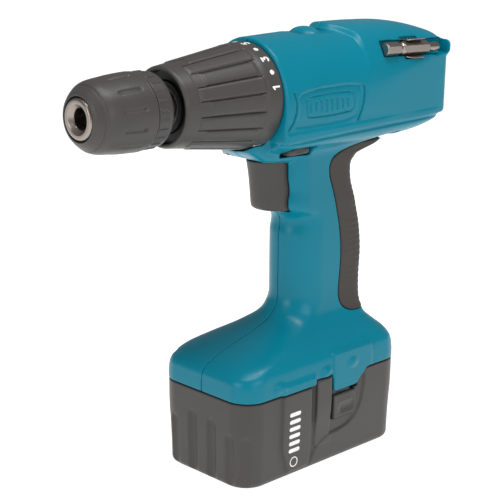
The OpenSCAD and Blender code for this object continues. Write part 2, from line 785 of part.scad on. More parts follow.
module battery_case() color(dark) difference() {
    union() {
        translate([0, 0, 1.2]) linear_extrude(seam_z - 1.2) battery_outline(0);
        linear_extrude(1.3) battery_outline(1.2);
        both_sides() {
            translate([post_x1 + 1.2, 0, 3]) cube([24, battery_w / 2 + side_raise, seam_z - 3.4]);
            translate([post_x0, 20, 8]) cube([post_x1 - post_x0, battery_w / 2 + side_raise - 20, post_z - 8]);
        }
    }
    translate([0, 0, 2.2]) linear_extrude(60) battery_outline(2.2);
    both_sides() {
        translate([tab_x0 + 1.4, 26, 23]) cube([tab_x1 - tab_x0 - 1.8, 12, 40]);
        translate([tab_x0 - 0.6, 28, tab_z - 0.4]) cube([tab_x1 - tab_x0 + 1, 12, 40]);
    }
    for (k = [-2:2], s = [-1, 1]) translate([s * (battery_l / 2 + 0.9), 10 * k, 4]) cylinder(h = 26, r = 2.2);
}

// Cover that closes the pack, with the post that goes up into the grip.
module battery_cover() color(dark) difference() {
    union() {
        translate([0, 0, cover_z]) linear_extrude(2.9) battery_outline(2.25);
        translate([-38, -11, cover_z]) cube([34, 22, 44]);
    }
    translate([-36, -9, cover_z - 1]) cube([30, 18, 43]);
    for (s = [-1, 1]) translate([-33, s * 6 - 1.6, 80]) cube([20, 3.2, 12]);
    both_sides() translate([tab_x0 - 0.6, 26.4, 30]) cube([tab_x1 - tab_x0 + 1, 10, 40]);
}

// Twelve cells in three staggered rows.
module cells() color([0.55, 0.6, 0.62]) for (row = [-1:1], i = [0:3])
    translate([(i - 1.5) * cell_pitch + (row == 0 ? 1 : -1) * cell_pitch / 4, row * cell_row_y, 2.4])
        cylinder(h = cell_h - 2.6, r = cell_d / 2);

module battery_terminals() color(brass) {
    for (row = [-1:1]) translate([(row == 0 ? 1 : -1) * cell_pitch / 4 - 42, row * cell_row_y - (row == 0 ? 7 : 3),
        cell_h - 0.2]) cube([84, row == 0 ? 14 : 6, 0.3]);
    for (s = [-1, 1]) {
        difference() {
            translate([-31, s * 6 - 1.4, 76]) cube([16, 2.8, 9]);
            translate([-33, s * 6 - 0.6, 82]) cube([20, 1.2, 12]);
        }
        translate([-28, s * 6 - 0.4, cell_h]) cube([5, 0.8, 76.1 - cell_h]);
    }
}

// Push button of the left latch, with the hook that stands behind the housing's tab.
module latch() {
    translate([tab_x0 + 1.8, 31, 23.4]) cube([tab_x1 - tab_x0 - 2.6, 2.8, tab_z - 0.5 - 23.4]);
    translate([-9.6, 29.4, 34]) cube([4, 1.7, 9]);
}

module latch_left() color(dark) latch();
module latch_right() color(dark) mirror([0, 1, 0]) latch();

module latch_springs() color(steel) both_sides() translate([-6.4, 0, 30]) rotate([0, 0, 90])
    coil(24.4, 29.2, 0, 0, 1.5, 0.4, 4, 6, 12);

housing_left();
housing_right();
housing_screws();
grip_pad();
gear_case();
ring_gear_1();
ring_gear_3();
ball_bearings();
clutch_balls();
clutch_spring();
motor_can();
magnets();
end_bell();
brushes();
armature();
windings();
commutator();
motor_shaft();
cooling_fan();
pinion();
planet_1(0);  // planet_1_a
planet_1(1);  // planet_1_b
planet_1(2);  // planet_1_c
carrier_1();
ring_gear_2();
planets_2();
carrier_2();
planet_3(0);  // planet_3_a
planet_3(1);  // planet_3_b
planet_3(2);  // planet_3_c
spindle();
chuck_body();
chuck_screw();
nose_ring();
rear_sleeve();
front_sleeve();
split_nut();
jaw(0);  // jaw_a
jaw(1);  // jaw_b
jaw(2);  // jaw_c
torque_collar();
clutch_nut();
trigger();
trigger_spring();
switch_body();
heat_sink();
wiring();
terminal_block();
reversing_lever();
speed_selector();
shift_fork();
bit_clip();
spare_bit();
battery_case();
battery_cover();
cells();
battery_terminals();
latch_left();
latch_right();
latch_springs();
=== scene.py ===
"""Cordless drill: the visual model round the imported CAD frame.

Shapes are worked out in millimetres, in the frame of the CAD model, and become metres in Blender.
"""
import bmesh
import bpy
import json
import math
import numpy as np
from mathutils import Matrix, Vector


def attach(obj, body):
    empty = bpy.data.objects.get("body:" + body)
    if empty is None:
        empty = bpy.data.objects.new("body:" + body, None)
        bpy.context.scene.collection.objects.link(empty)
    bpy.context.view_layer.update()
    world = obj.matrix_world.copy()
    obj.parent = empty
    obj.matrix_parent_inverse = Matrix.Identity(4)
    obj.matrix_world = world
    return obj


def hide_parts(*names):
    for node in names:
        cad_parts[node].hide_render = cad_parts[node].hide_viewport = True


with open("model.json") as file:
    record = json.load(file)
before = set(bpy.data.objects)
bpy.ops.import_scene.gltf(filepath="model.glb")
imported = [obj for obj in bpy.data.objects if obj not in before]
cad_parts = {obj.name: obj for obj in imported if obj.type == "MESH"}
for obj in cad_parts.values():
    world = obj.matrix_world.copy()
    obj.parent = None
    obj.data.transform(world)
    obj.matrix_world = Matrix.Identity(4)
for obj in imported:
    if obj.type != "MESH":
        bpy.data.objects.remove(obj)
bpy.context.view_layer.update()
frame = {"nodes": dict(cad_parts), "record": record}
MM = 0.001
AXIS_Z = 196.0
sin, cos, rad = math.sin, math.cos, math.radians

# ---------------------------------------------------------------- materials


def noise(nodes, links, coordinates, scale, detail):
    """Noise on the object's own coordinates; returns its value socket."""
    node = nodes.new("ShaderNodeTexNoise")
    node.inputs["Scale"].default_value = scale
    node.inputs["Detail"].default_value = detail
    links.new(coordinates, node.inputs["Vector"])
    return node.outputs["Fac"]


def material(name, color, rough=0.5, metal=0.0, bump=0.0, scale=900.0, vary=0.06, rough_vary=0.08, spec=0.5):
    """Procedural finish: wide noise varies the colour, and fine grain varies the roughness and the bump."""
    made = bpy.data.materials.new(name)
    made.use_nodes = True
    nodes, links = made.node_tree.nodes, made.node_tree.links
    shader = nodes["Principled BSDF"]
    shader.inputs["Metallic"].default_value = metal
    shader.inputs["Specular IOR Level"].default_value = spec
    coordinates = nodes.new("ShaderNodeTexCoord").outputs["Object"]
    wide = noise(nodes, links, coordinates, 22.0, 4.0)
    grain = noise(nodes, links, coordinates, scale, 2.0)
    ramp = nodes.new("ShaderNodeValToRGB")
    low, high = ramp.color_ramp.elements
    low.position, high.position = 0.3, 0.7
    low.color = (*(c * (1 - vary) for c in color), 1)
    high.color = (*(min(1, c * (1 + vary)) for c in color), 1)
    links.new(wide, ramp.inputs["Fac"])
    links.new(ramp.outputs["Color"], shader.inputs["Base Color"])
    span = nodes.new("ShaderNodeMapRange")
    span.inputs["To Min"].default_value = max(0.02, rough - rough_vary)
    span.inputs["To Max"].default_value = min(1, rough + rough_vary)
    links.new(grain, span.inputs["Value"])
    links.new(span.outputs["Result"], shader.inputs["Roughness"])
    if bump:
        relief = nodes.new("ShaderNodeBump")
        relief.inputs["Strength"].default_value = bump
        relief.inputs["Distance"].default_value = 0.0002
        links.new(grain, relief.inputs["Height"])
        links.new(relief.outputs["Normal"], shader.inputs["Normal"])
    return made


# Finish: colour, roughness, metal share and what else it has.
MAT = {name: material(name, *look, **more) for name, look, more in (
    ("teal_plastic", ((0.0, 0.178, 0.255), 0.3), dict(bump=0.1, vary=0.04, rough_vary=0.05, spec=0.2)),
    ("dark_plastic", ((0.054, 0.05, 0.047), 0.42), dict(bump=0.2, vary=0.05, spec=0.33)),
    ("grip_rubber", ((0.05, 0.044, 0.038), 0.68), dict(bump=0.3, scale=1300, spec=0.35)),
    ("black_plastic", ((0.015, 0.015, 0.015), 0.5), dict(bump=0.15)),
    ("bright_steel", ((0.32, 0.28, 0.25), 0.32, 1.0), dict(bump=0.05, scale=400)),
    ("dark_steel", ((0.33, 0.32, 0.31), 0.38, 1.0), dict(bump=0.08, scale=500)),
    ("gear_steel", ((0.5, 0.5, 0.5), 0.35, 1.0), dict(bump=0.1)),
    ("gear_case_metal", ((0.1, 0.1, 0.105), 0.48, 1.0), dict(bump=0.3, scale=700)),
    ("brass", ((0.72, 0.52, 0.22), 0.3, 1.0), {}),
    ("copper", ((0.72, 0.36, 0.19), 0.34, 1.0), {}),
    ("magnet", ((0.07, 0.07, 0.075), 0.6, 0.4), dict(bump=0.2)),
    ("cell_sleeve", ((0.3, 0.36, 0.4), 0.35), {}),
    ("wire_red", ((0.5, 0.02, 0.02), 0.4), {}),
    ("white_ink", ((0.82, 0.81, 0.78), 0.5), {}),
)}
SLOT = {s["node"]: s["material_slot"] for s in frame["record"]["subparts"]}
for name, obj in frame["nodes"].items():
    obj.data.materials.clear()
    obj.data.materials.append(MAT[SLOT[name]])

# ---------------------------------------------------------------- shape fields

# A field takes arrays x, y, z in mm and gives the distance to a surface, negative inside.


def smin(a, b, k):
    """Smaller of two fields, with a fillet about k wide where they meet."""
    h = np.maximum(k - np.abs(a - b), 0) / k
    return np.minimum(a, b) - h * h * k / 4


def smax(a, b, k):
    """Larger of two fields, with the edge between them rounded over about k."""
    return -smin(-a, -b, k)


def ease(t):
    """From 0 to 1 as t goes from 0 to 1, smooth at both ends."""
    t = np.clip(t, 0, 1)
    return t * t * (3 - 2 * t)


def curve(points):
    """Smooth function through (position, value) points that doesn't overshoot them."""
    at, value = np.array(sorted(points), float).T
    slope = np.diff(value) / np.diff(at)
    tangent = np.concatenate([[slope[0]], (slope[1:] + slope[:-1]) / 2, [slope[-1]]])
    tangent[1:-1][slope[1:] * slope[:-1] <= 0] = 0
    fine = np.linspace(at[0], at[-1], 800)
    i = np.clip(np.searchsorted(at, fine) - 1, 0, len(at) - 2)
    h = at[i + 1] - at[i]
    t = (fine - at[i]) / h
    smooth = (value[i] * (1 + 2 * t) * (1 - t) ** 2 + value[i + 1] * t * t * (3 - 2 * t)
              + h * tangent[i] * t * (1 - t) ** 2 + h * tangent[i + 1] * t * t * (t - 1))
    return lambda q: np.interp(q, fine, smooth)


def block(x, y, z, lo, hi, r=0.0):
    """Box from corner lo to corner hi with its edges rounded to r."""
    q = [np.abs(c - (a + b) / 2) - (b - a) / 2 + r for c, a, b in zip((x, y, z), lo, hi)]
    outside = np.sqrt(sum(np.maximum(c, 0) ** 2 for c in q))
    return outside + np.minimum(np.maximum(np.maximum(q[0], q[1]), q[2]), 0) - r


def capsule(x, y, z, a, b, r):
    """Round rod with domed ends from a to b."""
    ax, ay, az = a
    bx, by, bz = b
    length = (bx - ax) ** 2 + (by - ay) ** 2 + (bz - az) ** 2
    t = np.clip(((x - ax) * (bx - ax) + (y - ay) * (by - ay) + (z - az) * (bz - az)) / length, 0, 1)
    return np.sqrt((x - ax - t * (bx - ax)) ** 2 + (y - ay - t * (by - ay)) ** 2
                   + (z - az - t * (bz - az)) ** 2) - r


def outline(points, closed=True, smooth=0, step=0.2, margin=5):
    """Field in a plane of a closed outline or an open line, kept as a table and read between its points."""
    p = np.array(points, float)
    for _ in range(smooth):  # each pass cuts the corners a little
        q = np.roll(p, -1, 0)
        cut = np.stack([0.75 * p + 0.25 * q, 0.25 * p + 0.75 * q], 1)
        p = cut.reshape(-1, 2) if closed else np.concatenate([p[:1], cut[:-1].reshape(-1, 2), p[-1:]])
    lo = p.min(0) - margin
    size = np.ceil((np.ptp(p, 0) + 2 * margin) / step).astype(int) + 1
    gx, gy = np.meshgrid(lo[0] + step * np.arange(size[0]), lo[1] + step * np.arange(size[1]), indexing="ij")
    nearest = np.full(gx.shape, 1e9)
    inside = np.zeros(gx.shape, bool)
    ends = np.roll(p, -1, 0) if closed else p[1:]
    for a, b in zip(p, ends):
        e = b - a
        t = np.clip(((gx - a[0]) * e[0] + (gy - a[1]) * e[1]) / max(e @ e, 1e-9), 0, 1)
        nearest = np.minimum(nearest, (gx - a[0] - t * e[0]) ** 2 + (gy - a[1] - t * e[1]) ** 2)
        if closed and a[1] != b[1]:
            inside ^= ((a[1] > gy) != (b[1] > gy)) & (gx < a[0] + (gy - a[1]) * e[0] / e[1])
    table = np.where(inside, -1, 1) * np.sqrt(nearest)

    def read(u, v):
        s = (u - lo[0]) / step
        t = (v - lo[1]) / step
        sc = np.clip(s, 0, size[0] - 1.001)
        tc = np.clip(t, 0, size[1] - 1.001)
        i, j = sc.astype(int), tc.astype(int)
        fs, ft = sc - i, tc - j
        low = table[i, j] * (1 - fs) + table[i + 1, j] * fs
        high = table[i, j + 1] * (1 - fs) + table[i + 1, j + 1] * fs
        return low * (1 - ft) + high * ft + step * np.hypot(s - sc, t - tc)

    return read


# ---------------------------------------------------------------- meshes from fields

BLOCK = 4  # cells along a block's side
COARSE = 1.0
CORNERS = [(i, j, k) for i in (0, 1) for j in (0, 1) for k in (0, 1)]


def near_surface(field, origin, blocks, step):
    """Which blocks of cells the surface may cross, and the sign of the field in each."""
    half = BLOCK * step / 2
    centre = [origin[a] + half + BLOCK * step * np.arange(blocks[a]) for a in range(3)]
    x, y, z = (c.ravel() for c in np.meshgrid(*centre, indexing="ij"))
    f = field(x, y, z)
    e = half / 2
    g = np.sqrt(((field(x + e, y, z) - f) / e) ** 2 + ((field(x, y + e, z) - f) / e) ** 2
                + ((field(x, y, z + e) - f) / e) ** 2)
    near = np.abs(f) < half * 2.1 * np.clip(g, 1, 4)
    return near.reshape(blocks), (f < 0).reshape(blocks)


def sample(field, origin, blocks, step):
    """The field on a full grid, worked out only near the surface and +1 or -1 elsewhere."""
    near, inside = near_surface(field, origin, blocks, step)
    sign = np.where(inside, -1.0, 1.0).astype(np.float32)
    for a in range(3):
        sign = np.repeat(sign, BLOCK, a)
    grid = np.pad(sign, ((0, 1), (0, 1), (0, 1)), mode="edge")
    wanted = np.zeros(grid.shape, bool)
    n = [BLOCK * b for b in blocks]
    for i in range(BLOCK + 1):
        for j in range(BLOCK + 1):
            for k in range(BLOCK + 1):
                wanted[i:i + n[0]:BLOCK, j:j + n[1]:BLOCK, k:k + n[2]:BLOCK] |= near
    index = np.nonzero(wanted)
    points = [origin[a] + step * index[a] for a in range(3)]
    values = np.empty(len(points[0]), np.float32)
    for s in range(0, len(values), 200000):
        part = slice(s, s + 200000)
        values[part] = field(*(p[part] for p in points))
    grid[index] = values
    return grid


def gradient(field, p, e):
    return np.stack([(field(*(p + d * e).T) - field(*(p - d * e).T)) / (2 * e) for d in np.eye(3)], 1)


def crossings(grid, cells):
    """Mean of the points where the surface crosses each cell's edges, in cells from the grid's corner."""
    total = np.zeros((len(cells), 3))
    count = np.zeros(len(cells))
    for a in CORNERS:
        for axis in range(3):
            if a[axis]:
                continue
            b = tuple(1 if n == axis else v for n, v in enumerate(a))
            fa = grid[tuple((cells + a).T)].astype(float)
            fb = grid[tuple((cells + b).T)].astype(float)
            crossed = (fa < 0) != (fb < 0)
            t = np.where(crossed, fa / np.where(crossed, fa - fb, 1), 0)
            total += crossed[:, None] * (np.array(a) + t[:, None] * (np.array(b) - a))
            count += crossed
    return cells + total / count[:, None]


def quads_between(inside, number):
    """One quad round each crossed grid edge, from the numbers of the four cells that share the edge."""
    quads = []
    for axis in range(3):
        u, v = (axis + 1) % 3, (axis + 2) % 3
        here = np.moveaxis(inside, axis, 0)
        changed = np.moveaxis(np.concatenate([here[:-1] != here[1:], here[1:] & False]), 0, axis)
        edge = np.stack(np.nonzero(changed), 1)
        clear = (edge[:, u] > 0) & (edge[:, v] > 0)
        clear &= (edge[:, u] < number.shape[u]) & (edge[:, v] < number.shape[v])
        edge = edge[clear]
        ring = []
        for du, dv in ((-1, -1), (0, -1), (0, 0), (-1, 0)):
            cell = edge.copy()
            cell[:, u] += du
            cell[:, v] += dv
            ring.append(number[tuple(cell.T)])
        ring = np.stack(ring, 1)
        outward = inside[tuple(edge.T)]
        quads.append(np.where(outward[:, None], ring, ring[:, ::-1]))
    quads = np.concatenate(quads)
    return quads[(quads >= 0).all(1)]


def onto_surface(field, vertices, step):
    """Moves the vertices onto the surface in two steps of at most 0.6 of a cell."""
    for _ in range(2):
        g = gradient(field, vertices, 0.25 * step)
        f = field(*vertices.T)
        move = -f[:, None] * g / (np.sum(g * g, 1)[:, None] + 1e-6)
        length = np.linalg.norm(move, axis=1)[:, None]
        vertices = vertices + move * np.minimum(1, 0.6 * step / np.maximum(length, 1e-9))
    return vertices


INSET = 1.5  # cells of empty grid round the corners that are asked for


def net(field, lo, hi, step):
    """Surface nets: vertices, quads and normals of the field's 0 surface between corners lo and hi."""
    step = step * COARSE
    origin = np.array(lo, float) - INSET * step
    blocks = np.ceil((np.array(hi) + INSET * step - origin) / (BLOCK * step)).astype(int)
    grid = sample(field, origin, blocks, step)
    inside = grid < 0
    count = sum(inside[i:i - 1 or None, j:j - 1 or None, k:k - 1 or None].astype(np.int8)
                for i, j, k in CORNERS)  # corners of each cell that are inside
    cells = np.stack(np.nonzero((count > 0) & (count < 8)), 1)
    number = np.full(count.shape, -1, np.int32)
    number[tuple(cells.T)] = np.arange(len(cells))
    vertices = onto_surface(field, origin + step * crossings(grid, cells), step)
    normals = gradient(field, vertices, 0.35 * step)
    normals /= np.linalg.norm(normals, axis=1)[:, None] + 1e-9
    return vertices, quads_between(inside, number), normals


def piece(name, vertices, faces, finish, body, nodes=(), normals=None):
    """Mesh object from vertices in mm and an array of faces, riding on a body and standing for CAD nodes."""
    faces = np.asarray(faces, np.int32)
    corners = faces.shape[1]
    mesh = bpy.data.meshes.new(name)
    mesh.vertices.add(len(vertices))
    mesh.vertices.foreach_set("co", (np.asarray(vertices, float) * MM).astype(np.float32).ravel())
    mesh.loops.add(faces.size)
    mesh.loops.foreach_set("vertex_index", faces.ravel())
    mesh.polygons.add(len(faces))
    mesh.polygons.foreach_set("loop_start", np.arange(0, faces.size, corners, dtype=np.int32))
    mesh.polygons.foreach_set("loop_total", np.full(len(faces), corners, np.int32))
    mesh.update(calc_edges=True)
    mesh.validate()
    mesh.polygons.foreach_set("use_smooth", np.full(len(mesh.polygons), True))
    if normals is not None:
        mesh.normals_split_custom_set_from_vertices(normals.astype(np.float32).tolist())
    mesh.materials.append(MAT[finish])
    made = bpy.data.objects.new(name, mesh)
    bpy.context.scene.collection.objects.link(made)
    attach(made, body)
    if nodes:
        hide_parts(*nodes)
    return made


def moulded(name, field, lo, hi, step, finish, body, nodes):
    """Piece whose surface is where the field is 0."""
    vertices, quads, normals = net(field, lo, hi, step)
    return piece(name, vertices, quads, finish, body, nodes, normals)


# ---------------------------------------------------------------- housing and grip

REAR, FRONT, HALF_W = -98.6, 28.8, 28.8
SPRING_Z = 190.0  # where the barrel's arch starts
LIP_Z = 178.5  # top of the belly under the barrel
SEAM_Z = 46.9  # edge between the foot and the battery
TAB_Y = 32.5  # middle of the latch tab's thickness
WALL = 2.6
COLLAR_HOLE_R = 23.8

# All by x: tops over the spindle axis, the arch's power, the lip's height, and the belly's low point and
# half width.
deck_top = curve([(-60, 29.7), (-18, 29.6), (-2, 29.4), (28.8, 28.7)])
hump_top = curve([(-98.6, 23.4), (-95, 24.9), (-76, 29.8), (-50, 31.8), (-24, 32.4)])
arch_power = curve([(-98, 3.5), (-76, 2.75), (-27, 2.3), (-18, 2.2), (28.8, 2.1)])
lip_under = curve([(-98, 176.6), (-60, 176.2), (0, 175.2), (28, 174.2)])
belly_low = curve([(-98, 173.5), (-88, 168.8), (-60, 165.2), (0, 165), (20, 166.2), (28, 168.5)])
belly_w = curve([(-98, 25.6), (-88, 27), (-60, 27.6), (0, 27.6), (28, 26.4)])


def hump_share(x, y):
    """1 on the rear hump and 0 on the front deck; the wall between them bows forward in the middle."""
    wall_x = -23.3 - smin(0.034 * y * y, 9.4, 2.0)
    return ease((wall_x - x) / 3.4 + 0.5)


def barrel(x, y, z):
    """Upper housing: an arch over straight walls, scooped out a little over the lip."""
    share = hump_share(x, y)
    top = deck_top(x) + (hump_top(x) - deck_top(x)) * share
    e = arch_power(x)
    scoop = 0.7 * ease((z - 179) / 1.1) * (1 - ease((z - 180.5) / 7.5))
    w = HALF_W - scoop
    h = top + AXIS_Z - SPRING_Z
    a = np.abs(y) / w + 1e-6
    b = np.maximum(z - SPRING_Z, 0) / h + 1e-6
    ae, be = a ** (e - 1), b ** (e - 1)
    f = (ae * a + be * b) ** (1 / e)
    slope = np.sqrt((ae / w) ** 2 + (be / h) ** 2) * f ** (1 - e)
    flat_side = y - (28.75 + 0.0393 * (x + 40) + 0.0119 * (z - 187.8))
    section = smax((f - 1) / slope, flat_side, 0.5)
    d = smax(section, lip_under(x) - z, 1.8)
    d = smax(d, x - FRONT, 1.6)
    return smax(d, REAR - 0.3 - x, 5)


def belly(x, y, z):
    """Lower housing, rounded underneath, with a groove under the barrel's lip."""
    a = np.abs(y) / belly_w(x)
    b = np.maximum(LIP_Z - z, 0) / (LIP_Z - belly_low(x))
    f = np.maximum((a ** 2.5 + b ** 2.5), 1e-6) ** 0.4
    slope = np.sqrt((a ** 1.5 / belly_w(x)) ** 2 + (b ** 1.5 / 12.5) ** 2) * f ** -1.5
    groove = 0.8 * np.exp(-((z - lip_under(x) + 0.9) / 0.9) ** 2)
    d = smax((f - 1) / slope + groove, x - FRONT + 0.8, 2)
    return smax(smax(d, REAR + 2 - x, 6), z - 180, 1)


grip_levels = {
    # height: rear x, front x, half width, rear corner, front corner along x, front corner along y
    44: (-59.3, 59.4, 33.3, 13, 13, 13), 50: (-59.3, 59.4, 33.3, 13, 13, 13),
    53.5: (-59.2, 59.2, 33.1, 13, 13, 13), 57: (-58.9, 58.8, 32.8, 13.4, 14, 14),
    59.4: (-58.4, 57.2, 32.2, 14, 14.6, 14.6), 63: (-56.4, 51.8, 30.0, 14.6, 16, 15.6),
    66: (-54.0, 43.0, 26.6, 15, 17, 16), 70.5: (-50.2, 26.5, 21.0, 13, 17, 16),
    75: (-48.6, 13.4, 17.8, 11, 17.6, 15.6), 82: (-47.4, 6.4, 16.5, 10.5, 18, 15.6),
    92: (-47.4, 4.8, 16.2, 10.5, 18, 15.8), 105: (-47.9, 4.8, 16.3, 10.5, 18, 15.8),
    120: (-46.4, 4.8, 16.3, 10.5, 18, 15.8), 130.8: (-43.6, 4.9, 16.3, 10.5, 18, 15.7),
    135: (-42.4, 10.4, 16.4, 10.5, 14.5, 12.5),
    146: (-38.8, 10.8, 16.5, 11, 14, 12), 154: (-38.2, 10.8, 16.8, 11.5, 12, 10),
    158: (-40.2, 10.8, 17.0, 11.5, 12, 10), 161: (-44.8, 10.8, 17.2, 11.5, 12, 10),
    164: (-57.6, 10.8, 17.3, 11, 12, 10), 176.5: (-66, 24, 17.6, 10.5, 12, 10),
}
grip_curves = [curve([(z, row[i]) for z, row in grip_levels.items()]) for i in range(6)]
FOOT_LOW = 44


def grip(x, y, z):
    """Egg-shaped handle: the front corners are quarter ellipses, the rear ones are round."""
    x0, x1, w, r, rx, ry = (c(z) for c in grip_curves)
    u, v = x - (x1 - rx), np.abs(y) - (w - ry)
    corner = (u > 0) & (v > 0)
    e = np.sqrt(np.where(corner, (u / rx) ** 2 + (v / ry) ** 2, 1))
    slope = np.sqrt(np.where(corner, (u / rx ** 2) ** 2 + (v / ry ** 2) ** 2, 1)) / e
    front = np.where(corner, (e - 1) / slope, np.maximum(u - rx, v - ry))
    p, q = x0 + r - x, np.abs(y) - (w - r)
    rear = np.hypot(np.maximum(p, 0), np.maximum(q, 0)) + np.minimum(np.maximum(p, q), 0) - r
    d = np.maximum(front, rear)
    d = d / (1 + 1.6 * np.exp(-((z - 67) / 6) ** 2))  # the flare into the foot leans far outwards
    return np.maximum(np.maximum(d, FOOT_LOW - z), z - 177)


# Chin under the collar, seen from the side.
chin_side = outline(
    [(6, 160.5), (26.5, 162.4), (30.5, 164.4), (37.8, 168.6), (38.6, 171), (38.6, 178), (6, 178)], smooth=1)


def chin(x, y, z):
    """Part under the collar that holds the trigger, kept clear of the collar."""
    d = smax(chin_side(x, z), np.abs(y) - 14.6, 5)
    round_collar = np.hypot(y, z - AXIS_Z)
    return np.where(x > FRONT - 0.5, smax(d, 26.95 - round_collar, 0.5), d)


# Pad on the back of the grip: its outline seen from the side.
pad_side = outline(
    [(-70, 73.4), (-38.5, 73.8), (-30.3, 75.5), (-25.8, 80.5), (-25.1, 88), (-26.2, 98), (-26.6, 111.9),
     (-24.5, 125.4), (-20, 141.3), (-16, 151), (-15.3, 157), (-18.5, 161.6), (-26.7, 164.2), (-38, 166.6),
     (-52, 168.8), (-70, 170.5)], smooth=2)
# Tab over the battery's latch.
tab_side = outline(
    [(-4.2, 60), (-4.2, 41.4), (-5.4, 39.2), (-21.4, 39.2), (-23.2, 40), (-25.6, 43), (-27.2, 43.6),
     (-29.4, 46.2), (-30.6, 46.9), (-34, 48), (-34, 60)])
# Dish round the speed selector, seen from above.
dish_side = outline(
    [(1.5, -4), (0.6, 3.0), (-3, 6.6), (-10, 9.6), (-20, 11.8), (-23.6, 11.4), (-22.0, 6), (-21.4, -4)],
    smooth=2)
# Grooves at both ends of the side panel, and the panel itself.
badge_front = outline([(23.4, 200.2), (22.2, 196.5), (21.9, 191.6), (23.3, 186.9), (26.6, 181.6)],
                      closed=False, smooth=1)
badge_rear = outline([(-27.2, 199.2), (-28.0, 195.3), (-27.3, 191.2), (-26, 186.2), (-23.7, 181)],
                     closed=False, smooth=1)
badge_panel = outline(
    [(20.5, 200.2), (19.8, 192), (21.6, 184), (23, 181.4), (-22, 181.2), (-25, 188), (-25.6, 196),
     (-25, 200.6)], smooth=2)
# Generic ornament in the panel: a rounded strip with upright bars.
strip_side = outline(
    [(12, 186), (14.6, 188), (14.6, 194.6), (12, 196.6), (-18, 196.6), (-20.6, 194.6), (-20.6, 188),
     (-18, 186)], smooth=2)
ORNAMENT_Z, ORNAMENT_DEPTH = 191.3, 0.7
ORNAMENT_BARS = [(-15.5 + 3.9 * i, 2.9 - 0.35 * abs(i - 3.5)) for i in range(8)]  # x and half height

# Spare bit: its rear tip, its slope, and how deep the pocket goes.
BIT_START = (-95.6, 25.2, 212.8)
BIT_SLOPE = rad(2.2)
POCKET_Y = 20.4


def along_bit(x, y, z):
    """Place in the bit's own frame: along it from its rear tip, outwards, and up."""
    u, w = x - BIT_START[0], z - BIT_START[2]
    return u * cos(BIT_SLOPE) + w * sin(BIT_SLOPE), y - BIT_START[1], w * cos(BIT_SLOPE) - u * sin(BIT_SLOPE)


def bit_pocket(s, t, v):
    """Pocket close round the bit, with room for the clip's leaves, and for a finger at the bit's tip."""
    floor_t = POCKET_Y - BIT_START[1]
    d = block(s, t, v, (-0.6, floor_t, -3.9), (50.2, 20, 3.95), 1.0)
    d = smin(d, block(s, t, v, (19.4, floor_t, -5.5), (33.6, 20, 5.5), 0.6), 0.5)
    return smin(d, np.sqrt(((s - 8) / 1.5) ** 2 + (t - 3.4) ** 2 + ((v - 0.4) / 1.05) ** 2) - 4.9, 1.0)


def housing_outer(x, y, z):
    """Both shells as one smooth shape, before anything is cut."""
    d = smin(barrel(x, y, z), belly(x, y, z), 0.4)
    d = smin(d, grip(x, y, z), 5)
    return smin(d, chin(x, y, z), 3)


# Screws: x, z and how far their bosses reach sideways. Bumps over the seam: x and z.
SCREWS = [(29.6, 167, 14), (-92, 182, 26), (-7, 122, 12.5), (-7, 92, 12.5), (50, 57, 24), (-51, 57, 25),
          (-90, 204, 26), (-70, 172, 24)]
BOSS_R, HEAD_HOLE_R = 3.9, 3.1
FOOT_BUMPS = [(35.4, 51.4), (1.0, 51.6), (-18.7, 52.6)]


def add_left_details(d, x, y, z):
    """What only the left side shows: bit pocket, lug, side panel with its ornament, and a dimple."""
    s, t, v = along_bit(x, y, z)
    lug = block(s, t, v, (-3.2, -7, -4.4), (2.6, 3.4, 3.6), 2.9)
    d = smin(d, lug, 2.0)
    d = smax(d, -bit_pocket(s, t, v), 0.5)
    on_side = ease((y - 22) / 3)
    d = d + 1.15 * on_side * (1 - ease(badge_front(x, z) / 0.95)) * ease((200.5 - z) / 1.5)
    d = d + 1.25 * on_side * (1 - ease(badge_rear(x, z) / 1.0)) * ease((199.5 - z) / 1.5)
    inside_panel = 1 - ease(badge_panel(x, z) / 1.2 + 0.5)
    bow = 0.5 + 0.45 * ((z - 190.5) / 10) ** 2
    d = d + on_side * inside_panel * bow
    d = d + ORNAMENT_DEPTH * on_side * (1 - ease(np.abs(strip_side(x, z)) / 0.75))
    for bx, half in ORNAMENT_BARS:
        to_bar = np.hypot(np.maximum(np.abs(x - bx) - 0.25, 0), np.maximum(np.abs(z - ORNAMENT_Z) - half, 0))
        d = d + ORNAMENT_DEPTH * on_side * (1 - ease(to_bar / 0.8))
    dimple = np.sqrt((x - 17.9) ** 2 + (y - 27.6) ** 2 + (z - 207.4) ** 2)
    return smax(d, 1.5 - dimple, 0.6)


PAD_GAP, BED_DEPTH = 0.25, 1.35


def add_pad_bed(d, x, y, z):
    bed = np.maximum(np.maximum(pad_side(x, z) - PAD_GAP, -(grip(x, y, z) + BED_DEPTH)), z - 172)
    return smax(d, -bed, 0.5)


def add_selector_dish(d, x, y, z):
    """Dished recess and slot of the speed selector in front of the hump."""
    dish = smax(dish_side(x, np.abs(y)), 224.0 - z, 1.0)
    d = np.where(z > 215, smax(d, -dish, 0.7), d)
    return smax(d, -block(x, y, z, (-17.9, -6.8, 214), (-1.1, 6.8, 240), 0.8), 0.5)


def add_foot_details(d, x, y, z):
    """Tab over the battery's latch, bumps over the seam, and the skirt in front of the tab."""
    tab = smax(tab_side(x, z), np.abs(np.abs(y) - TAB_Y) - 1.3, 0.8)
    d = smin(d, tab, 1.2)
    for bx, bz in FOOT_BUMPS:
        bump = np.sqrt(((x - bx) / 1.5) ** 2 + (np.abs(y) - 32.3) ** 2 + ((z - bz) / 1.1) ** 2) - 2.5
        d = smin(d, bump, 1.6)
    skirt = block(x, np.abs(y), z, (10, 25, SEAM_Z - 2), (33.6, 34.2, 51.5), 1.2)
    return smin(d, skirt, 3)


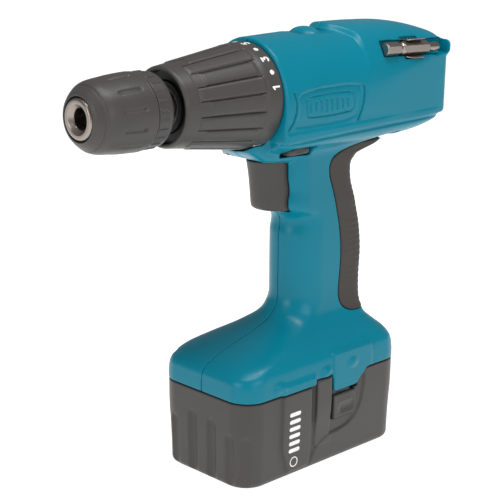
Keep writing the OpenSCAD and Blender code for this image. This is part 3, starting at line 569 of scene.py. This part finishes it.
def cut_hollow(d, outer, x, y, z, side):
    """Hollow inside, less the walls of the bit pocket and the block over the speed selector's plate."""
    hollow = np.maximum(outer + WALL, z - np.where((x > -37) & (np.abs(y) < 24), 218.6, 240))
    if side > 0:
        hollow = np.maximum(hollow, 2.0 - bit_pocket(*along_bit(x, y, z)))
    d = np.maximum(d, -np.where(x < -3, hollow, np.maximum(hollow, 174 - z)))
    d = np.maximum(d, -np.maximum(np.hypot(y, z - AXIS_Z) - COLLAR_HOLE_R, -12 - x))
    flare = 1.6 * np.exp(-((z - 67) / 8) ** 2)
    return np.maximum(d, -np.maximum(np.maximum(grip(x, y, z) + WALL + flare, z - 158), 40 - z))


def add_screw_bosses(d, outer, x, y, z, side):
    """Posts between the shells; the right one has the counterbores of the heads."""
    for sx, sz, reach in SCREWS:
        from_axis = np.hypot(x - sx, z - sz)
        boss = np.maximum(np.maximum(from_axis - BOSS_R, np.abs(y) - reach + 0.6), outer + 0.5)
        d = np.minimum(d, boss)
        if side < 0:
            d = smax(d, -np.maximum(from_axis - HEAD_HOLE_R, y + reach - 3.1), 0.6)
    return d


def cut_openings(d, x, y, z):
    """Openings of the trigger, lever, selector and battery post, the lower edge, and a finger hollow."""
    d = smax(d, -block(x, y, z, (-1.4, -10.6, 134.3), (30, 10.6, 163.2), 0.6), 1.2)
    d = smax(d, -block(x, y, z, (0.4, -40, 164.7), (19.6, 40, 170.3), 1.6), 0.7)
    d = np.maximum(d, -block(x, y, z, (-23.9, -11.4, 216), (16.3, 11.4, 221.6)))
    d = smax(d, -block(x, np.abs(y), z, (-3.7, 20, 40), (8.9, 40, 49.0)), 0.5)
    below = np.where(np.abs(y) > 31.0, np.minimum(SEAM_Z - z, tab_side(x, z)), SEAM_Z - z)
    d = smax(d, below, 0.8)
    finger = np.hypot(x - 5.4, np.abs(y) - 8.6)
    return d + 0.5 * (1 - ease(finger / 4.5)) * ease((134 - z) / 2) * ease((z - 128.5) / 4)


def housing_shell(side):
    """Field of one shell; side is +1 for the left."""
    def field(x, y, z):
        outer = housing_outer(x, y, z)
        d = add_selector_dish(outer, x, y, z)
        d = add_pad_bed(d, x, y, z)
        d = add_foot_details(d, x, y, z)
        if side > 0:
            d = add_left_details(d, x, y, z)
        d = cut_hollow(d, outer, x, y, z, side)
        d = add_screw_bosses(d, outer, x, y, z, side)
        d = cut_openings(d, x, y, z)
        return smax(d, 0.1 - side * y, 0.5)  # each shell stops just short of the middle
    return field


RIB_STEP = 3.2


def rubber_pad(x, y, z):
    """Soft skin over the back of the grip, with shallow ribs."""
    d = grip(x, y, z) - 0.25
    d = smax(d, -(d + 1.45), 0.3)
    d = smax(d, pad_side(x, z) + 0.15, 0.9)
    wave = 0.5 + 0.5 * np.cos(2 * np.pi * z / RIB_STEP)
    ribs = 0.16 * wave * ease((-30 - x) / 6) * ease((-1.2 - pad_side(x, z)) / 2)
    keep_off = np.minimum(barrel(x, y, z), belly(x, y, z))
    return smax(d + ribs, 0.3 - keep_off, 0.6)


for side, node in ((1, "housing_left"), (-1, "housing_right")):
    y_low, y_high = (0, 36) if side > 0 else (-36, 0)
    moulded("shell_" + node[8:], housing_shell(side), (-102, y_low, 37), (61, y_high, 230), 0.68,
            "teal_plastic", "drill", [node])
moulded("pad_of_grip", rubber_pad, (-70, -19, 72), (-13, 19, 171), 0.6, "grip_rubber", "drill", ["grip_pad"])


# ---------------------------------------------------------------- round pieces on the spindle axis


def turned(name, profile, finish, body, nodes=(), shape=None, around=360, max_step=0.6):
    """Piece turned from a closed profile of (x, radius) points in mm; angles run from the top towards +Y.

    shape(x, angle in degrees, radius) gives each point's new radius."""
    rows = []
    for a, b in zip(profile, profile[1:] + profile[:1]):
        length = math.hypot(b[0] - a[0], b[1] - a[1])
        steps = max(1, int(math.ceil(length / max_step)))
        for k in range(steps):
            rows.append((a[0] + (b[0] - a[0]) * k / steps, a[1] + (b[1] - a[1]) * k / steps))
    rows = np.array(rows)
    angle = np.linspace(0, 360, around, endpoint=False)
    x = np.repeat(rows[:, :1], around, 1)
    r = np.repeat(rows[:, 1:], around, 1)
    a = np.repeat(angle[None], len(rows), 0)
    if shape is not None:
        r = shape(x, a, r)
    ar = np.radians(a)
    vertices = np.stack([x, r * np.sin(ar), AXIS_Z + r * np.cos(ar)], -1).reshape(-1, 3)
    i, j = np.meshgrid(np.arange(len(rows)), np.arange(around), indexing="ij")
    i2, j2 = (i + 1) % len(rows), (j + 1) % around
    faces = np.stack([i * around + j, i2 * around + j, i2 * around + j2, i * around + j2], -1).reshape(-1, 4)
    made = piece(name, vertices, faces, finish, body, nodes)
    sharpen(made, 38)
    return made


def sharpen(made, degrees):
    """Shades smooth except over edges sharper than the angle."""
    made.data.set_sharp_from_angle(angle=rad(degrees))


def rounded(points, r, steps=4):
    """Profile with each corner rounded to about r."""
    p = [np.array(q, float) for q in points]
    out = []
    for i, c in enumerate(p):
        a, b = p[i - 1], p[(i + 1) % len(p)]
        la, lb = np.linalg.norm(a - c), np.linalg.norm(b - c)
        cut = min(r, 0.45 * la, 0.45 * lb)
        s, e = c + (a - c) * cut / la, c + (b - c) * cut / lb
        for k in range(steps + 1):
            t = k / steps
            out.append(tuple(s * (1 - t) ** 2 + 2 * c * t * (1 - t) + e * t * t))
    return out


def around_to(a, centre):
    """Signed angle from centre, from -180 to 180 degrees."""
    return (a - centre + 180) % 360 - 180


# Torque collar: number band, long raised panels with grooves between, and a smooth front ring.
DIAL_STEP = 16.35  # degrees between the dial's marks
DIAL_FIRST = 74.0  # degrees from the top to the first number
PANELS, GROOVE_DEPTH, PANEL_CROWN = 18, 0.8, 0.5


def collar_shape(x, a, r):
    """Crowned panels between grooves, every second one longer, a rim behind and a smooth ring in front."""
    outer = r > 17.9 + (85 - x) * 0.06
    turn = around_to(a, DIAL_FIRST + 5) / 360 * PANELS
    odd = np.floor(turn) % 2
    turn = turn % 1  # 0 to 1 across each panel
    edge = np.minimum(turn, 1 - turn) * 2  # 0 on the groove, 1 in the panel's middle
    front_end = 71.6 + 5.0 * odd
    along = ease((x - 40.5 + 2 * odd) / 2) * (1 - ease((x - front_end) / 1.2))
    groove = GROOVE_DEPTH * (1 - ease((edge - 0.03) / 0.11)) * along
    crown = PANEL_CROWN * ease(edge * 2.2) * along
    rim_step = 0.2 * (1 - ease((x - 38.6) / 0.8)) * ease((x - 29.4) / 0.6)
    smooth_ring = 0.12 * ease((x - 78) / 0.8)
    d = crown - groove + rim_step + smooth_ring
    return np.where(outer & (x > 29.2) & (x < 84.6), r + d, r)


collar_profile = rounded(
    [(29, 24), (29, 26.1), (29.6, 26.5), (37, 26.2), (43, 25.1), (57, 23.2), (72, 21.2), (80, 20.1),
     (84.8, 19.5), (85.6, 18.8), (85.6, 17.9), (80.6, 17.4), (80.6, 12.8), (79, 12.8), (79, 16.6),
     (70, 18.5), (40, 22), (36, 23.9)], 0.5, 3)
turned("collar_ring", collar_profile, "dark_plastic", "collar", ["torque_collar"], collar_shape, around=600,
       max_step=0.5)

# Black lining of the collar's front end: painted shade, a black sheet standing in for the shadow in the
# collar's inner chamfer.
shade_liner_profile = rounded(
    [(80.9, 12.9), (80.9, 17.6), (85.3, 18.1), (85.3, 17.6), (81.7, 17.0), (81.7, 12.9)], 0.1, 2)
turned("collar_painted_shade_liner", shade_liner_profile, "black_plastic", "collar", around=240)

# Strokes of the dial's digits in a box 2 wide and 3 high, from the lower left.
DIGITS = {
    "1": [(0.35, 2.35), (1.15, 3), (1.15, 0)],
    "3": [(0.2, 3), (1.8, 3), (0.95, 1.85), (1.6, 1.65), (1.9, 0.95), (1.55, 0.2), (0.85, 0), (0.15, 0.35)],
    "5": [(1.75, 3), (0.4, 3), (0.25, 1.75), (1.2, 1.85), (1.85, 1.2), (1.75, 0.4), (1.1, 0), (0.2, 0.25)],
    "7": [(0.15, 3), (1.85, 3), (0.8, 0)],
    "9": [(1.8, 1.9), (1.2, 1.35), (0.45, 1.5), (0.15, 2.2), (0.5, 2.85), (1.2, 3), (1.75, 2.6),
          (1.85, 1.6), (1.4, 0.4), (0.6, 0)],
}
BAND_X = 33.6  # middle of the number band


def on_collar(angle):
    """Places marks on the number band: u towards smaller angles, v towards the chuck, in mm."""
    def place(u, v, lift):
        r = float(np.interp(BAND_X + v, [29.6, 37, 43], [26.5, 26.2, 25.1])) + 0.2 + lift
        t = rad(angle) - u / r
        return BAND_X + v, r * sin(t), AXIS_Z + r * cos(t)
    return place


def ink(name, strips, place, body, finish="white_ink", lift=0.12):
    """Raised mark of flat convex strips, given in the plane that place(u, v, lift) puts on a surface."""
    vertices, faces = [], []
    for strip in strips:
        base, k = len(vertices), len(strip)
        vertices += [place(u, v, lift) for u, v in strip] + [place(u, v, -0.3) for u, v in strip]
        faces.append([base + i for i in range(k)])
        faces += [[base + i, base + k + i, base + k + (i + 1) % k, base + (i + 1) % k] for i in range(k)]
        faces.append([base + k + i for i in reversed(range(k))])
    mesh = bpy.data.meshes.new(name)
    mesh.from_pydata([Vector(v) * MM for v in vertices], [], faces)
    bm = bmesh.new()
    bm.from_mesh(mesh)
    bmesh.ops.recalc_face_normals(bm, faces=bm.faces)
    bm.to_mesh(mesh)
    bm.free()
    mesh.materials.append(MAT[finish])
    made = bpy.data.objects.new(name, mesh)
    bpy.context.scene.collection.objects.link(made)
    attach(made, body)
    return made


def disc(r, u=0.0, v=0.0, sides=16):
    return [(u + r * cos(rad(360 * k / sides)), v + r * sin(rad(360 * k / sides))) for k in range(sides)]


def bar(ax, ay, bx, by, width):
    """Convex strip from a to b."""
    length = math.hypot(bx - ax, by - ay)
    nx, ny = -(by - ay) / length * width / 2, (bx - ax) / length * width / 2
    return [(ax + nx, ay + ny), (ax - nx, ay - ny), (bx - nx, by - ny), (bx + nx, by + ny)]


def pen(points, width, scale, shift=0.0):
    """A pen stroke as convex strips: one bar per stretch and a disc at each turn."""
    p = [((u - 1) * scale + shift, (v - 1.5) * scale) for u, v in points]
    return [bar(*a, *b, width) for a, b in zip(p, p[1:])] + [disc(width / 2, x, y, 10) for x, y in p]


DIAL_MARKS = 15
for k in range(DIAL_MARKS):
    place = on_collar(DIAL_FIRST - DIAL_STEP * k)
    if k % 2:
        ink(f"dial_dot_{k + 1}", [disc(1.3)], place, "collar")
        continue
    number = str(k + 1)
    size = 1.28 if len(number) == 1 else 0.95
    strips = []
    for i, digit in enumerate(number):
        strips += pen(DIGITS[digit], 0.95, size, (i - (len(number) - 1) / 2) * 2.7)
    ink("dial_number_" + number, strips, place, "collar")
# Drill symbol after the last number, and an index line.
ink("dial_drill", [bar(0, -2, 0, 0.4, 1.0), [(-1.3, 0.4), (1.3, 0.4), (0, 2.2)]],
    on_collar(DIAL_FIRST - DIAL_STEP * (DIAL_MARKS + 0.4)), "collar")
ink("dial_line", [bar(0, -2.2, 0, 3.2, 1.0)], on_collar(149.6), "collar")


SLEEVE_FLUTES = 12
SLEEVE_RIBS = 24
MM_PER_DEGREE = 0.32  # along the sleeves' surface


def front_sleeve_shape(x, a, r):
    """Long shallow flutes, each with a deeper cup at its rear end, and fine lines near both ends."""
    outer = (r > 14.3) | (x > 129)
    across = around_to(a * SLEEVE_FLUTES % 360, 200) / SLEEVE_FLUTES * MM_PER_DEGREE
    flute = np.hypot(across / 1.55, np.maximum(np.abs(x - 114.2) - 5.2, 0) / 2.0)
    d = -0.55 * (1 - ease(flute * 0.95))
    line = -0.35 * (1 - ease(np.abs(x - 129.6) / 0.45))
    cup = -0.45 * (1 - ease(np.hypot(across, x - 108.6) / 1.15))
    rear = -0.2 * (1 - ease(np.abs(x - 103.4) / 0.5))
    return np.where(outer & (x > 101.6) & (x < 133), r + 0.3 + d + line + rear + cup, r)


front_profile = rounded(
    [(101.3, 14), (101.3, 18.2), (104, 18.5), (110, 18.35), (114, 18.1), (118, 17.65), (124, 17.0),
     (126.4, 16.6), (128.4, 15.8), (130.4, 14.4), (132.4, 12.6), (133.8, 11.2), (133.8, 10.5),
     (124.4, 10.5), (122.4, 14)], 0.7, 3)
turned("chuck_sleeve_front", front_profile, "dark_plastic", "chuck_sleeve", ["front_sleeve"],
       front_sleeve_shape, around=480, max_step=0.4)


def rear_sleeve_shape(x, a, r):
    """Short ribs round the sleeve."""
    across = around_to(a * SLEEVE_RIBS % 360, 180) / SLEEVE_RIBS * MM_PER_DEGREE
    along = ease((x - 94.6) / 0.8) * (1 - ease((x - 100) / 0.6))
    rib = 0.5 * (1 - ease((np.abs(across) - 0.35) / 0.35)) * along
    return np.where(r > 17, r - 0.45 + rib, r)


rear_profile = rounded(
    [(91.4, 10.4), (91.4, 17.2), (92.6, 18.3), (94.4, 18.5), (100.9, 18.5), (100.9, 14.2), (94, 14.2),
     (94, 10.4)], 0.4, 3)
turned("chuck_sleeve_rear", rear_profile, "dark_plastic", "spindle", ["rear_sleeve"], rear_sleeve_shape,
       around=480, max_step=0.5)

nose_profile = rounded(
    [(127, 5), (127, 10), (133.2, 10), (134.2, 9.3), (134.4, 8.6), (134.4, 7.2), (133.4, 6.2), (132.2, 5)],
    0.35, 3)
turned("nose_collar", nose_profile, "bright_steel", "spindle", ["nose_ring"], around=160, max_step=0.8)


# ---------------------------------------------------------------- battery

CASE_TOP = 46.4
CASE_X, CASE_Y, CASE_R = 59.3, 33.05, 13.0
RAISE = 1.35  # of the label panel over the long wall
CASE_WALL, CASE_FLOOR = 2.9, 3.4
FLUTE_R = 4.4
FLUTES = [  # y and upper end of each flute in the end walls
    (-21, 28), (-7, 34), (7.2, 33), (20.8, 28),
]

# Hollow round the latch, seen from the side: its lower edge swings down to the foot of the label panel.
latch_bay = outline(
    [(-29.8, 56), (-29.4, 36), (-27.4, 27), (-23, 20.6), (-17, 17.2), (-10, 16), (-3, 15.6), (3, 13.8),
     (8, 9.2), (11, 4.6), (12.6, 3), (13.6, 3), (13.6, 56)], smooth=2)
panel_side = outline([(12.5, 60), (12.5, 6.5), (13.2, 4.2), (15.5, 3.2), (33.8, 3.2), (33.8, 60)], smooth=1)


def wall_y(z):
    """The long walls lean in a little towards the base."""
    return CASE_Y - 1.0 * ease((42 - z) / 40)


def add_panel_and_post(d, x, side_y, z):
    """Hollow of the latch, raised label panel and the post between them."""
    hy = wall_y(z)
    on_side = ease((side_y - 27) / 3)
    d = d + 1.0 * on_side * (1 - ease(latch_bay(x, z) / 1.8 + 0.6)) * ease((z - 1) / 4)
    panel = smax(panel_side(x, z), side_y - (hy + RAISE), 1.2)
    d = smin(d, np.maximum(panel, 24 - side_y), 0.7)
    post = block(x, side_y, z, (-2.8, 24, 12), (8.3, 34.15, 60), 0.8)
    lean = side_y - (hy + RAISE - 1.6 * (1 - ease((z - 14) / 24)))
    d = smin(d, smax(post, lean, 0.8), 1.2)
    top = np.where((side_y > 24) & (x > -3.4) & (x < 9.2), 48.5, CASE_TOP)
    return smax(d, z - top, 0.9)


def cut_latch_window(d, x, side_y, z):
    """Window of the latch, slot beside the post, and line beside the panel."""
    on_side = ease((side_y - 27) / 3)
    d = smax(d, -block(x, side_y, z, (-22.3, 26, 23.2), (-4.7, 40, 60), 1.0), 0.8)
    d = smax(d, -block(x, side_y, z, (-24.7, 28, 37.3), (-3.5, 40, 60), 0.3), 0.3)
    slot = np.hypot(np.abs(x + 3.6 + 0.06 * (39 - z)), np.maximum(np.abs(z - 32.5) - 7.5, 0))
    d = d + 0.9 * on_side * (1 - ease(slot / 0.75))
    line = np.hypot(x - 9.4, np.maximum(27 - z, 0) * 0.4)
    return d + 0.55 * on_side * (1 - ease(line / 0.7))


def cut_flutes(d, x, y, z, hx, hy):
    """Upright flutes with domed upper ends in the end walls and at the corners."""
    for fy, top_z in FLUTES:
        flute = np.hypot(np.abs(x) - (hx + 2.75), y - fy)
        dome = np.maximum(z - (top_z - 3), 0)
        d = smax(d, FLUTE_R - np.hypot(flute, 0.8 * dome), 0.5)
    corner = np.hypot(np.abs(x) - (hx - CASE_R) - 11.3, np.abs(y) - (hy - CASE_R) - 11.3)
    return smax(d, FLUTE_R - np.hypot(corner, 0.8 * np.maximum(z - 25, 0)), 0.5)


def battery_shell(x, y, z):
    hx = CASE_X - 0.7 * ease((42 - z) / 40)
    hy = wall_y(z)
    p, q = np.abs(x) - (hx - CASE_R), np.abs(y) - (hy - CASE_R)
    plan = np.hypot(np.maximum(p, 0), np.maximum(q, 0)) + np.minimum(np.maximum(p, q), 0) - CASE_R
    d = add_panel_and_post(smax(plan, -z, 4.0), x, np.abs(y), z)
    d = np.maximum(d, -np.maximum(plan + CASE_WALL, CASE_FLOOR - z))  # hollow inside
    d = cut_latch_window(d, x, np.abs(y), z)
    return cut_flutes(d, x, y, z, hx, hy)


moulded("battery_tub", battery_shell, (-60, -35, -1), (60, 35, 50), 0.72, "dark_plastic", "battery",
        ["battery_case"])


def latch(side):
    """Field of a latch button with a finger hollow and ribs; side is +1 for the left."""
    def field(x, y, z):
        v = y * side
        d = block(x, v, z, (-21.9, 30.8, 23.7), (-5.1, 33.5, 36.8), 0.8)
        finger = np.hypot(np.hypot(np.maximum(np.abs(x + 15) - 3.5, 0), v - 37.2), z - 28.5)
        d = smax(d, 4.6 - finger, 0.8)
        for rib in range(3):
            rib_z = 32.4 + 1.5 * rib
            d = smin(d, capsule(x, v, z, (-18.5, 33.1, rib_z), (-8.5, 33.1, rib_z), 0.5), 0.4)
        return smin(d, block(x, v, z, (-9.6, 29.5, 34), (-5.7, 31.4, 42.9), 0.5), 0.8)
    return field


for side, node in ((1, "latch_left"), (-1, "latch_right")):
    y_low, y_high = sorted((29 * side, 34.5 * side))
    moulded(node + "_button", latch(side), (-23, y_low, 23), (-4, y_high, 44), 0.4, "dark_plastic", node,
            [node])

# Charge bars and a plain ring on the label panel of the left side.
LABEL_X = 25.2


def on_panel(u, v, lift):
    return LABEL_X - u, float(wall_y(v)) + RAISE + lift, v


CHARGE_BARS, BAR_STEP, BAR_TOP = 6, 4.0, 35.2
for k in range(CHARGE_BARS):
    middle = BAR_TOP - BAR_STEP * k
    ends = [disc(1.1, u, middle) for u in (-2.9, 2.9)]
    ink(f"charge_bar_{k + 1}", [bar(-2.9, middle, 2.9, middle, 2.2)] + ends, on_panel, "battery", lift=0.05)
RING_R, RING_Z = 2.6, 8.6
corners = [(RING_R * cos(rad(30 * k)), RING_Z + RING_R * sin(rad(30 * k))) for k in range(13)]
ink("charge_ring", [bar(*a, *b, 0.55) for a, b in zip(corners, corners[1:])], on_panel, "battery", lift=0.05)


# ---------------------------------------------------------------- controls, spare bit and clip

# Front of the trigger by height, its rear face, its half width, and where the rounding starts.
trigger_face = curve([(134, 18.2), (136, 19.9), (138.5, 20.8), (143, 21.5), (150, 22.5), (157, 23.9),
                      (164, 25.9)])
TRIGGER_REAR, TRIGGER_W, BULGE_X = 10.4, 10.2, 10.6
TRIGGER_ROUND = 8.6  # turns the rounded face's share into mm


def trigger(x, y, z):
    """Hollow pull with a rounded face, thin skirts beside the grip, and the arm into the switch."""
    depth = trigger_face(z) - BULGE_X
    a, b = np.maximum(x - BULGE_X, 0) / depth, np.abs(y) / TRIGGER_W
    e = np.maximum(a ** 2.2 + b ** 2.2, 1e-9) ** (1 / 2.2)
    bulge = (e - 1) * TRIGGER_ROUND
    d = smax(bulge, TRIGGER_REAR - x, 1.0)
    base = 134.7 + 0.1 * (x - TRIGGER_REAR) + 0.6 * (np.abs(y) / TRIGGER_W) ** 2
    d = smax(smax(d, base - z, 1.6), z - 161.9, 0.6)
    d = smax(d, -np.maximum(bulge + 2.0, np.abs(z - 148.7) - 11.1), 0.5)
    skirt = block(x, np.abs(y), z, (5.4, 8.8, 135.2), (12.6, 10.15, 161.7), 0.4)
    arm = block(x, y, z, (3.4, -3, 146), (17, 3, 152), 0.4)
    return smin(smin(d, skirt, 0.3), arm, 0.4)


LEVER_PIVOT_X, LEVER_Z = -8.0, 167.5


def lever(x, y, z):
    """Cross bar with a rounded, slightly hollowed end on each side, on a pivot behind it."""
    side_y = np.abs(y)
    bar_end = block(x, side_y, z, (1.4, -1, 165.5), (16.6, 18.6, 169.5), 1.7)
    hollow = np.sqrt(((x - 9.2) / 1.7) ** 2 + (side_y - 22.8) ** 2 + ((z - 167.9) / 0.8) ** 2) - 4.6
    d = smax(bar_end, -hollow, 0.6)
    d = smin(d, block(x, y, z, (LEVER_PIVOT_X, -3.4, 165.5), (1, 3.4, 169.5), 0.4), 0.5)
    hub = np.hypot(x - LEVER_PIVOT_X, y)
    d = smin(d, smax(hub - 3.4, np.abs(z - LEVER_Z) - 2.0, 0.4), 0.4)
    return smax(d, 1.6 - hub, 0.3)


def selector(x, y, z):
    """Curved sliding plate with a ribbed, crowned knob."""
    plate = np.maximum(block(x, y, z, (-23.3, -10.9, 219), (10.5, 10.9, 221.3), 0.3),
                       24.0 - np.hypot(y, z - AXIS_Z))
    d = smin(plate, block(x, y, z, (-17.3, -6.3, 220.6), (-6.7, 6.3, 223.6), 0.7), 0.4)
    for rib in range(4):
        rib_x = -15.6 + 2.4 * rib
        d = smin(d, capsule(x, y, z, (rib_x, -5.2, 223.6), (rib_x, 5.2, 223.6), 0.62), 0.3)
    crown = np.sqrt(((x + 12.4) / 1.35) ** 2 + (y / 1.8) ** 2 + (z - 221.8) ** 2) - 5.4
    return smin(d, smax(crown, 220.5 - z, 0.3), 0.6)


# Round profile of the bit: radius along it, from its rear tip.
bit_radius = curve(
    [(4.4, 0.7), (5.2, 1.5), (6.8, 2.25), (9, 2.55), (15.2, 2.7), (16.2, 3.7), (16.6, 4), (35.2, 4),
     (35.6, 3.7), (36.9, 2.6), (38.4, 2.5), (39.6, 3.7), (40, 4), (48.6, 4), (49.2, 3.6), (49.8, 3.0)])
BIT_APOTHEM = 3.16  # of the hexagon


def bit(x, y, z):
    """Hexagonal bit with round necks; four flutes make the cross of its rear tip."""
    s, t, v = along_bit(x, y, z)
    d = np.hypot(t, v) - bit_radius(s)
    across = np.maximum(np.abs(t), 0.5 * np.abs(t) + 0.866 * np.abs(v))
    d = smax(smax(d, across - BIT_APOTHEM, 0.15), np.abs(s - 27.1) - 22.7, 0.3)
    to_flute = np.hypot(np.abs(t) - 2.5, np.abs(v) - 2.5)
    flute_r = np.maximum(1.9 - 0.16 * np.abs(s - 4.4), 0)
    return smax(d, np.where(s < 14, flute_r - to_flute, -1.0), 0.3)


def clip(x, y, z):
    """Spring clip: a floor plate and two leaves that spread apart outwards and get lower to the front."""
    s, t, v = along_bit(x, y, z)
    floor_t = POCKET_Y - BIT_START[1]
    d = block(s, t, v, (20.1, floor_t + 0.02, -4.3), (32.9, floor_t + 0.7, 4.3), 0.15)
    top = 3.0 - 0.14 * np.maximum(s - 28, 0) ** 1.6
    leaf = np.abs(np.abs(v) - 4.05 - 0.1 * np.maximum(t + 0.8, 0) ** 1.7) * 0.85 - 0.25
    ends = np.maximum(np.abs(s - 26.5) - 6.4, np.maximum(t - top, floor_t + 0.1 - t))
    return smin(d, smax(leaf, ends, 0.25), 0.3)


moulded("pull_trigger", trigger, (-2, -11, 134), (27, 11, 162.5), 0.4, "dark_plastic", "trigger",
        ["trigger"])
moulded("lever_bar", lever, (-12, -19, 165), (19.5, 19, 170), 0.34, "dark_plastic", "lever",
        ["reversing_lever"])
moulded("selector_slide", selector, (-24, -11.5, 218), (11, 11.5, 228), 0.36, "teal_plastic", "selector",
        ["speed_selector"])
moulded("two_ended_bit", bit, (-93, 21, 208), (-44, 30, 220), 0.22, "bright_steel", "spare_bit",
        ["spare_bit"])
moulded("clip_of_bit", clip, (-77, 19.8, 208), (-61, 28.2, 221), 0.16, "bright_steel", "drill", ["bit_clip"])


# ---------------------------------------------------------------- stage

# Camera: where it stands in mm, which way it looks, and its focal length in picture widths.
CAMERA_AT = Vector((515.4, 499.9, 307.6))
TURN, PITCH, ROLL = rad(45.57), rad(15.35), rad(0.51)
FOCAL_WIDTHS = 2.826
SENSOR = 36

forward = Vector((-cos(TURN) * cos(PITCH), -sin(TURN) * cos(PITCH), -sin(PITCH)))
level = forward.cross(Vector((0, 0, 1))).normalized()
upright = level.cross(forward)
right = level * cos(ROLL) + upright * sin(ROLL)
up = upright * cos(ROLL) - level * sin(ROLL)
cam_data = bpy.data.cameras.new("camera")
cam_data.lens = FOCAL_WIDTHS * SENSOR
cam_data.sensor_width = SENSOR
cam_data.clip_end = 20
cam = bpy.data.objects.new("camera", cam_data)
bpy.context.scene.collection.objects.link(cam)
turned_to = Matrix((right, up, -forward)).transposed().to_4x4()
cam.matrix_world = Matrix.Translation(CAMERA_AT * MM) @ turned_to
bpy.context.scene.camera = cam

FLOOR_HALF, FLOOR_Z = 6, -0.0004
floor_mesh = bpy.data.meshes.new("floor")
floor_corners = [(FLOOR_HALF * x, FLOOR_HALF * y, FLOOR_Z) for x, y in ((-1, -1), (1, -1), (1, 1), (-1, 1))]
floor_mesh.from_pydata(floor_corners, [], [(0, 1, 2, 3)])
floor = bpy.data.objects.new("floor", floor_mesh)
bpy.context.scene.collection.objects.link(floor)
paper = material("floor_paper", (0.5, 0.5, 0.5), 0.85, vary=0.005, spec=0.1)
glow = paper.node_tree.nodes["Principled BSDF"].inputs
glow["Emission Color"].default_value = (1, 1, 1, 1)
glow["Emission Strength"].default_value = 0.93
floor_mesh.materials.append(paper)


def area(name, place, target, size, power):
    """Rectangular white lamp at a place, turned to its target; metres and watts."""
    light = bpy.data.lights.new(name, "AREA")
    light.shape, light.energy = "RECTANGLE", power
    light.size, light.size_y = size
    lamp = bpy.data.objects.new(name, light)
    bpy.context.scene.collection.objects.link(lamp)
    lamp.location = place
    lamp.rotation_euler = (Vector(target) - Vector(place)).to_track_quat("-Z", "Y").to_euler()


area("overhead", (0.12, 0.16, 1.1), (0, 0, 0.15), (0.62, 0.45), 6.3)
area("front_left", (1.3, 0.1, 0.55), (0, 0, 0.12), (0.5, 0.7), 5)
area("flare_light", (-0.22, 0.25, 1.0), (0, 0, 0.1), (0.2, 0.2), 1.7)
area("right", (0.1, 1.3, 0.6), (0, 0, 0.12), (0.8, 0.6), 4.5)
world = bpy.data.worlds.new("studio")
bpy.context.scene.world = world
world.use_nodes = True
background = world.node_tree.nodes["Background"].inputs
background["Color"].default_value = (1, 1, 1, 1)
background["Strength"].default_value = 0.24
bpy.context.scene.view_settings.view_transform = "Standard"
